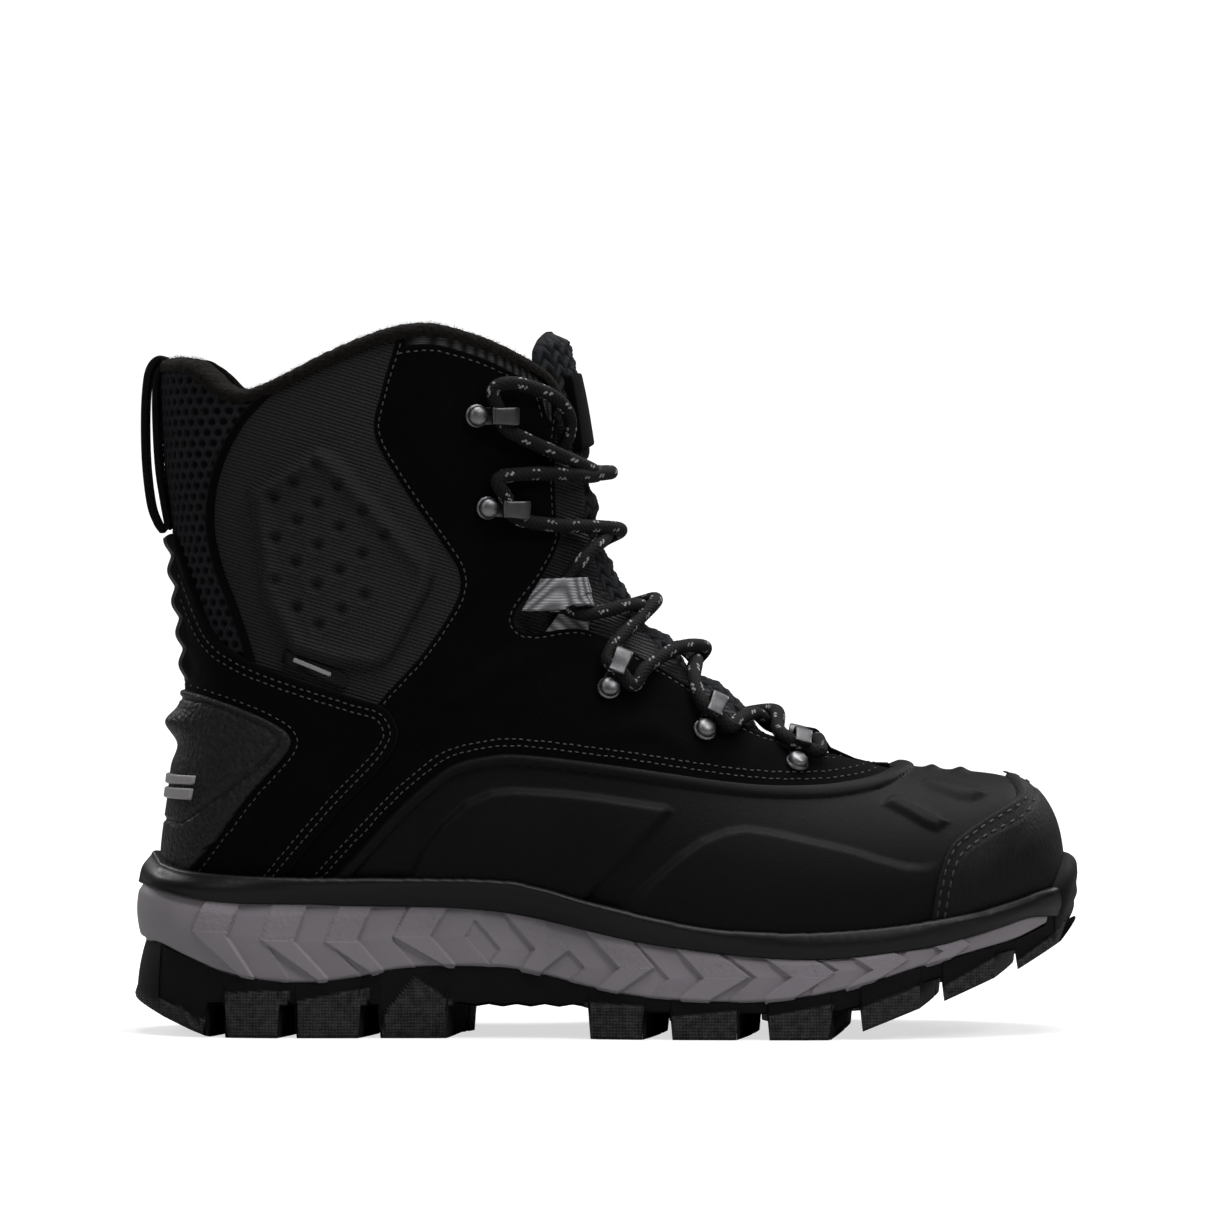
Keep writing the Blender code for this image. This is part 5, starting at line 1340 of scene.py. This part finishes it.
def webbing_fold(m, name, side):
    """A wide tape that comes out from under the eyestay, folds over the lace and goes back."""
    corners = [[(-28.4, 141.4), (-22.4, 151.6)], [(-7.6, 140.9), (-11.0, 151.6)]]
    ways = [(0.0, 1.0), (0.12, 3.2), (0.28, 5.8), (0.45, 7.4), (0.62, 8.0), (0.78, 8.1), (0.92, 7.8),
            (1.0, 6.3), (1.03, 4.2), (1.0, 2.4), (0.9, 1.2), (0.7, 0.8), (0.45, 0.7)]
    ways = catmull(ways, np.linspace(0, len(ways) - 1, 60))
    widths = np.linspace(0, 1, 24)
    a, b = np.meshgrid(ways[:, 0], widths, indexing="ij")
    height = np.broadcast_to(ways[:, 1:], a.shape).ravel()
    points, normal = on_surface(between(corners, a, b), side, height)
    rib = 0.12 * np.sin(b.ravel() * 10.5 * 2 * np.pi / 1.1)
    points = points + normal * rib[:, None]
    tape = mesh_object("webbing_" + name, points, grid_faces(60, 24), m["grey_webbing"],
                       replaces=["webbing_loop_" + name])
    thick = tape.modifiers.new("thick", "SOLIDIFY")
    thick.thickness, thick.offset = 0.0011, -1
    tail = [[(-20.5, 134.6), (-16.5, 140.3)], [(-6.5, 134.9), (-6.0, 140.5)]]
    a, b = np.meshgrid(np.linspace(0, 1, 16), np.linspace(0, 1, 10), indexing="ij")
    points, _ = on_surface(between(tail, a, b), side, 0.9)
    mesh_object("webbing_tail_" + name, points, grid_faces(16, 10), m["grey_webbing"])


def build_lace(m):
    """The braided lace along its hooks, with both ends down inside the shaft."""
    x, w, z, dx, dz = np.array(LACE_HALF, float).T
    for i in FOLD_POINTS:
        spot, _ = on_surface(np.array([(x[i], z[i])]), 1, FOLD_HEIGHT)
        w[i] = spot[0, 1] - midline(x[i])
    lower = np.column_stack([x, midline(x) - w, z])[1:]
    upper = np.column_stack([x + dx, midline(x) + w, z + dz])[::-1]
    nodes = np.vstack([upper, lower])
    path = resample(catmull(nodes, np.linspace(0, len(nodes) - 1, len(nodes) * 16)), LACE_STEP)
    along = unit(np.gradient(path, axis=0))
    across = np.zeros_like(path)
    across[0] = np.cross(along[0], (0, 1, 0))
    for i in range(1, len(path)):
        carried = across[i - 1] - along[i] * across[i - 1].dot(along[i])
        across[i] = carried / np.linalg.norm(carried)
    across[0] = across[1]
    other = np.cross(along, across)
    run = np.arange(len(path)) * LACE_STEP
    count = 36
    angle = 2 * np.pi * np.arange(count) / count
    strands = 8
    phase = angle[None] * strands
    one = 0.5 + 0.5 * np.cos(phase + run[:, None] * 2 * np.pi / BRAID_PITCH)
    two = 0.5 + 0.5 * np.cos(phase - run[:, None] * 2 * np.pi / BRAID_PITCH)
    braid = np.maximum(one, two) ** 1.5
    radius = LACE_RADIUS - 0.22 + 0.26 * braid
    points = path[:, None] + radius[..., None] * (np.cos(angle)[None, :, None] * across[:, None]
                                                   + np.sin(angle)[None, :, None] * other[:, None])
    sector = (angle[None] / (2 * np.pi) * 4 + run[:, None] / 60) % 1
    beat = run[:, None] % FLECK_REPEAT
    fleck = (beat < FLECK_LENGTH) * (sector < 0.30) * (one > 0.66)
    # The braid's height is kept for painted shade between the strands, next to the white flecks.
    tone = np.stack([braid, fleck.astype(float), np.zeros_like(braid)], -1)
    lace = mesh_object("braided_lace", points.reshape(-1, 3), grid_faces(len(path), count, True), m["lace"],
                       replaces=["lace"], data={"tone": tone.reshape(-1, 3)})


def stitches(name, rows, mat):
    """Rows of stitches: each is a short rounded bar that dips into the skin at its ends."""
    shape = spline([(-0.5, 0.35), (-0.42, 0.8), (-0.2, 1.0), (0.2, 1.0), (0.42, 0.8), (0.5, 0.35)], 6)
    turns = 2 * np.pi * np.arange(7) / 7
    all_points, all_tris = [], []
    total = 0
    for line, side, height, pitch, length, width in rows:
        line = resample(line, pitch)
        centre, normal = on_surface(line, side, height)
        along = np.gradient(centre, axis=0)
        gap = np.linalg.norm(np.diff(centre, axis=0, append=centre[-1:]), axis=1)
        good = (np.linalg.norm(along, axis=1) > 0.3) & (gap < pitch * 4)
        centre, normal, along = centre[good], normal[good], unit(along[good])
        across = np.cross(normal, along)
        ring = (shape[:, 1][None, :, None, None] * width / 2
                * (np.cos(turns)[None, None, :, None] * across[:, None, None]
                   + np.sin(turns)[None, None, :, None] * normal[:, None, None] * 0.75))
        bar = centre[:, None, None] + shape[:, 0][None, :, None, None] * length * along[:, None, None] + ring
        one = grid_faces(6, 7, True)
        all_points.append(bar.reshape(-1, 3))
        all_tris.append((one[None] + (np.arange(len(centre)) * 42)[:, None, None]).reshape(-1, 3) + total)
        total += len(centre) * 42
    mesh_object(name, np.vstack(all_points), np.vstack(all_tris), mat)


# Pitch, length and width of one stitch
FINE_STITCH = (2.5, 1.45, 0.52)
SHELL_STITCH = (2.4, 1.4, 0.55)
STRAP_STITCH = (2.4, 1.4, 0.5)
TOE_STITCH = (3.0, 2.3, 0.95)


def build_stitching(m):
    """All rows of stitches; a row is line, side, height, pitch, length and width."""
    rear, eyestay = spline(SUEDE_REAR, 200), spline(EYESTAY, 240)
    shell, band = spline(SHELL_TOP, 200), spline(BAND_TOP, 220)
    cap, counter = spline(TOE_CAP_EDGE, 120), spline(COUNTER_EDGE, 120)
    rows, dark = [], []
    for side in (-1, 1):
        rows.append((shifted(rear, 1.7)[14:150], side, 2.35, *FINE_STITCH))
        edge = shifted(eyestay, -1.9)
        rows.append((edge[5:-14], side, 2.35, *FINE_STITCH))
        rim = shifted(COLLAR_LINE, 7.6)
        rows.append((rim[(rim[:, 0] > -69) & (rim[:, 0] < -21)], side, 2.35, *FINE_STITCH))
        for gap in (2.6, 4.8):
            top = shifted(shell, gap)
            rows.append((top[(top[:, 1] > 51) & (top[:, 0] < 97)], side, 2.4, *SHELL_STITCH))
            strap = shifted(band, -gap)
            rows.append((strap[(strap[:, 1] > 52) & (strap[:, 0] > -141)], side, 4.0, *STRAP_STITCH))
        cup = shifted(counter, 1.9)
        rows.append((cup[(cup[:, 1] > 54) & (cup[:, 0] > -143)], side, 4.0, *STRAP_STITCH))
        for gap in (-1.9, -4.4):
            edge = shifted(cap, -gap)
            dark.append((edge[(edge[:, 1] > 41) & (edge[:, 1] < 84)], side, 5.15, *TOE_STITCH))
    stitches("seam_stitches", rows, m["thread"])
    stitches("toe_stitches", dark, m["dark_thread"])


def paint_nodes(m):
    """Materials for the CAD nodes that show as they are."""
    looks = {"footbed": "padding", "insole_board": "board", "collar_foam": "lining", "toe_puff": "stiffener",
             "heel_stiffener": "stiffener", "vamp": "suede", "shank": "steel", "aglet_lateral": "aglet",
             "aglet_medial": "aglet"}
    for node, look in looks.items():
        NODES[node].data.materials.clear()
        NODES[node].data.materials.append(m[look])
    for node, obj in NODES.items():
        if node not in looks and not obj.data.materials:
            obj.data.materials.append(m["stiffener"])


# Studio


def build_studio():
    """Backdrop, lights and world."""
    def floor_look(k):
        k.color(k.noise(k.coords(), 3, 2), (0.44, 0.44, 0.44), (0.47, 0.47, 0.47))
        away = k.nodes.new("ShaderNodeVectorMath")
        away.operation = "LENGTH"
        k.links.new(k.coords(), away.inputs[0])
        seen = k.nodes.new("ShaderNodeLightPath").outputs["Is Camera Ray"]
        k.shader.inputs["Emission Color"].default_value = (1, 1, 1, 1)
        glow = k.remap(away.outputs["Value"], 0.25, 0.9, 0.66, 1.0)
        k.links.new(k.math("MULTIPLY", glow, seen), k.shader.inputs["Emission Strength"])

    paper = new_material("paper", floor_look, Roughness=0.9, Specular_IOR_Level=0.1)
    profile = [(-3.6, 0.0), (-2.4, 0.0), (-1.2, 0.0), (0.0, 0.0), (1.0, 0.0), (1.8, 0.0), (2.5, 0.1),
               (3.0, 0.45), (3.1, 1.2), (3.1, 4.5)]
    line = spline(profile, 60)
    line[:, 1] = np.maximum(line[:, 1], 0)
    points = [(x, y, z) for y, z in line for x in (-5.0, 5.0)]
    faces = [(2 * i, 2 * i + 1, 2 * i + 3, 2 * i + 2) for i in range(len(line) - 1)]
    mesh = bpy.data.meshes.new("backdrop")
    mesh.from_pydata(points, [], faces)
    mesh.materials.append(paper)
    mesh.shade_smooth()
    floor = bpy.data.objects.new("backdrop", mesh)
    bpy.context.scene.collection.objects.link(floor)

    def area(name, place, target, size, power):
        light = bpy.data.lights.new(name, "AREA")
        light.shape = "RECTANGLE"
        light.size, light.size_y = size
        light.energy = power
        obj = bpy.data.objects.new(name, light)
        obj.location = place
        obj.rotation_euler = (Vector(target) - Vector(place)).to_track_quat("-Z", "Y").to_euler()
        bpy.context.scene.collection.objects.link(obj)

    area("overhead", (0.1, 0.0, 1.4), (0, 0, 0.1), (1.5, 1.1), 26)
    area("front_left", (-1.4, -1.5, 1.3), (0, 0, 0.12), (0.5, 0.7), 6)
    area("front_right", (1.2, -1.2, 1.5), (0, 0, 0.12), (0.5, 0.6), 14)
    area("back_right", (1.2, 1.3, 1.2), (0, 0, 0.12), (0.6, 0.6), 10)
    area("back_left", (-1.3, 1.2, 1.2), (0, 0, 0.12), (0.6, 0.6), 10)
    world = bpy.data.worlds.new("studio")
    world.use_nodes = True
    nodes, links = world.node_tree.nodes, world.node_tree.links
    k = Kit(nodes, links, None)
    seen = nodes.new("ShaderNodeLightPath").outputs["Is Camera Ray"]
    links.new(k.remap(seen, 0, 1, 0.03, 1.0), nodes["Background"].inputs["Strength"])
    nodes["Background"].inputs["Color"].default_value = (1, 1, 1, 1)
    scene = bpy.context.scene
    scene.world = world
    scene.view_settings.view_transform = "Standard"
    camera = bpy.data.objects.new("camera", bpy.data.cameras.new("camera"))
    camera.data.lens = 200
    camera.data.sensor_width = 36
    camera.location = (0, -2.28, 0.1429)
    camera.rotation_euler = (math.radians(90), 0, 0)
    scene.collection.objects.link(camera)
    scene.camera = camera


def main():
    """Build every piece."""
    m = build_materials()
    build_upper(m)
    build_collar(m)
    build_sole(m)
    build_tongue(m)
    build_gusset(m)
    build_hooks(m)
    build_lace(m)
    build_stitching(m)
    paint_nodes(m)
    build_studio()


main()
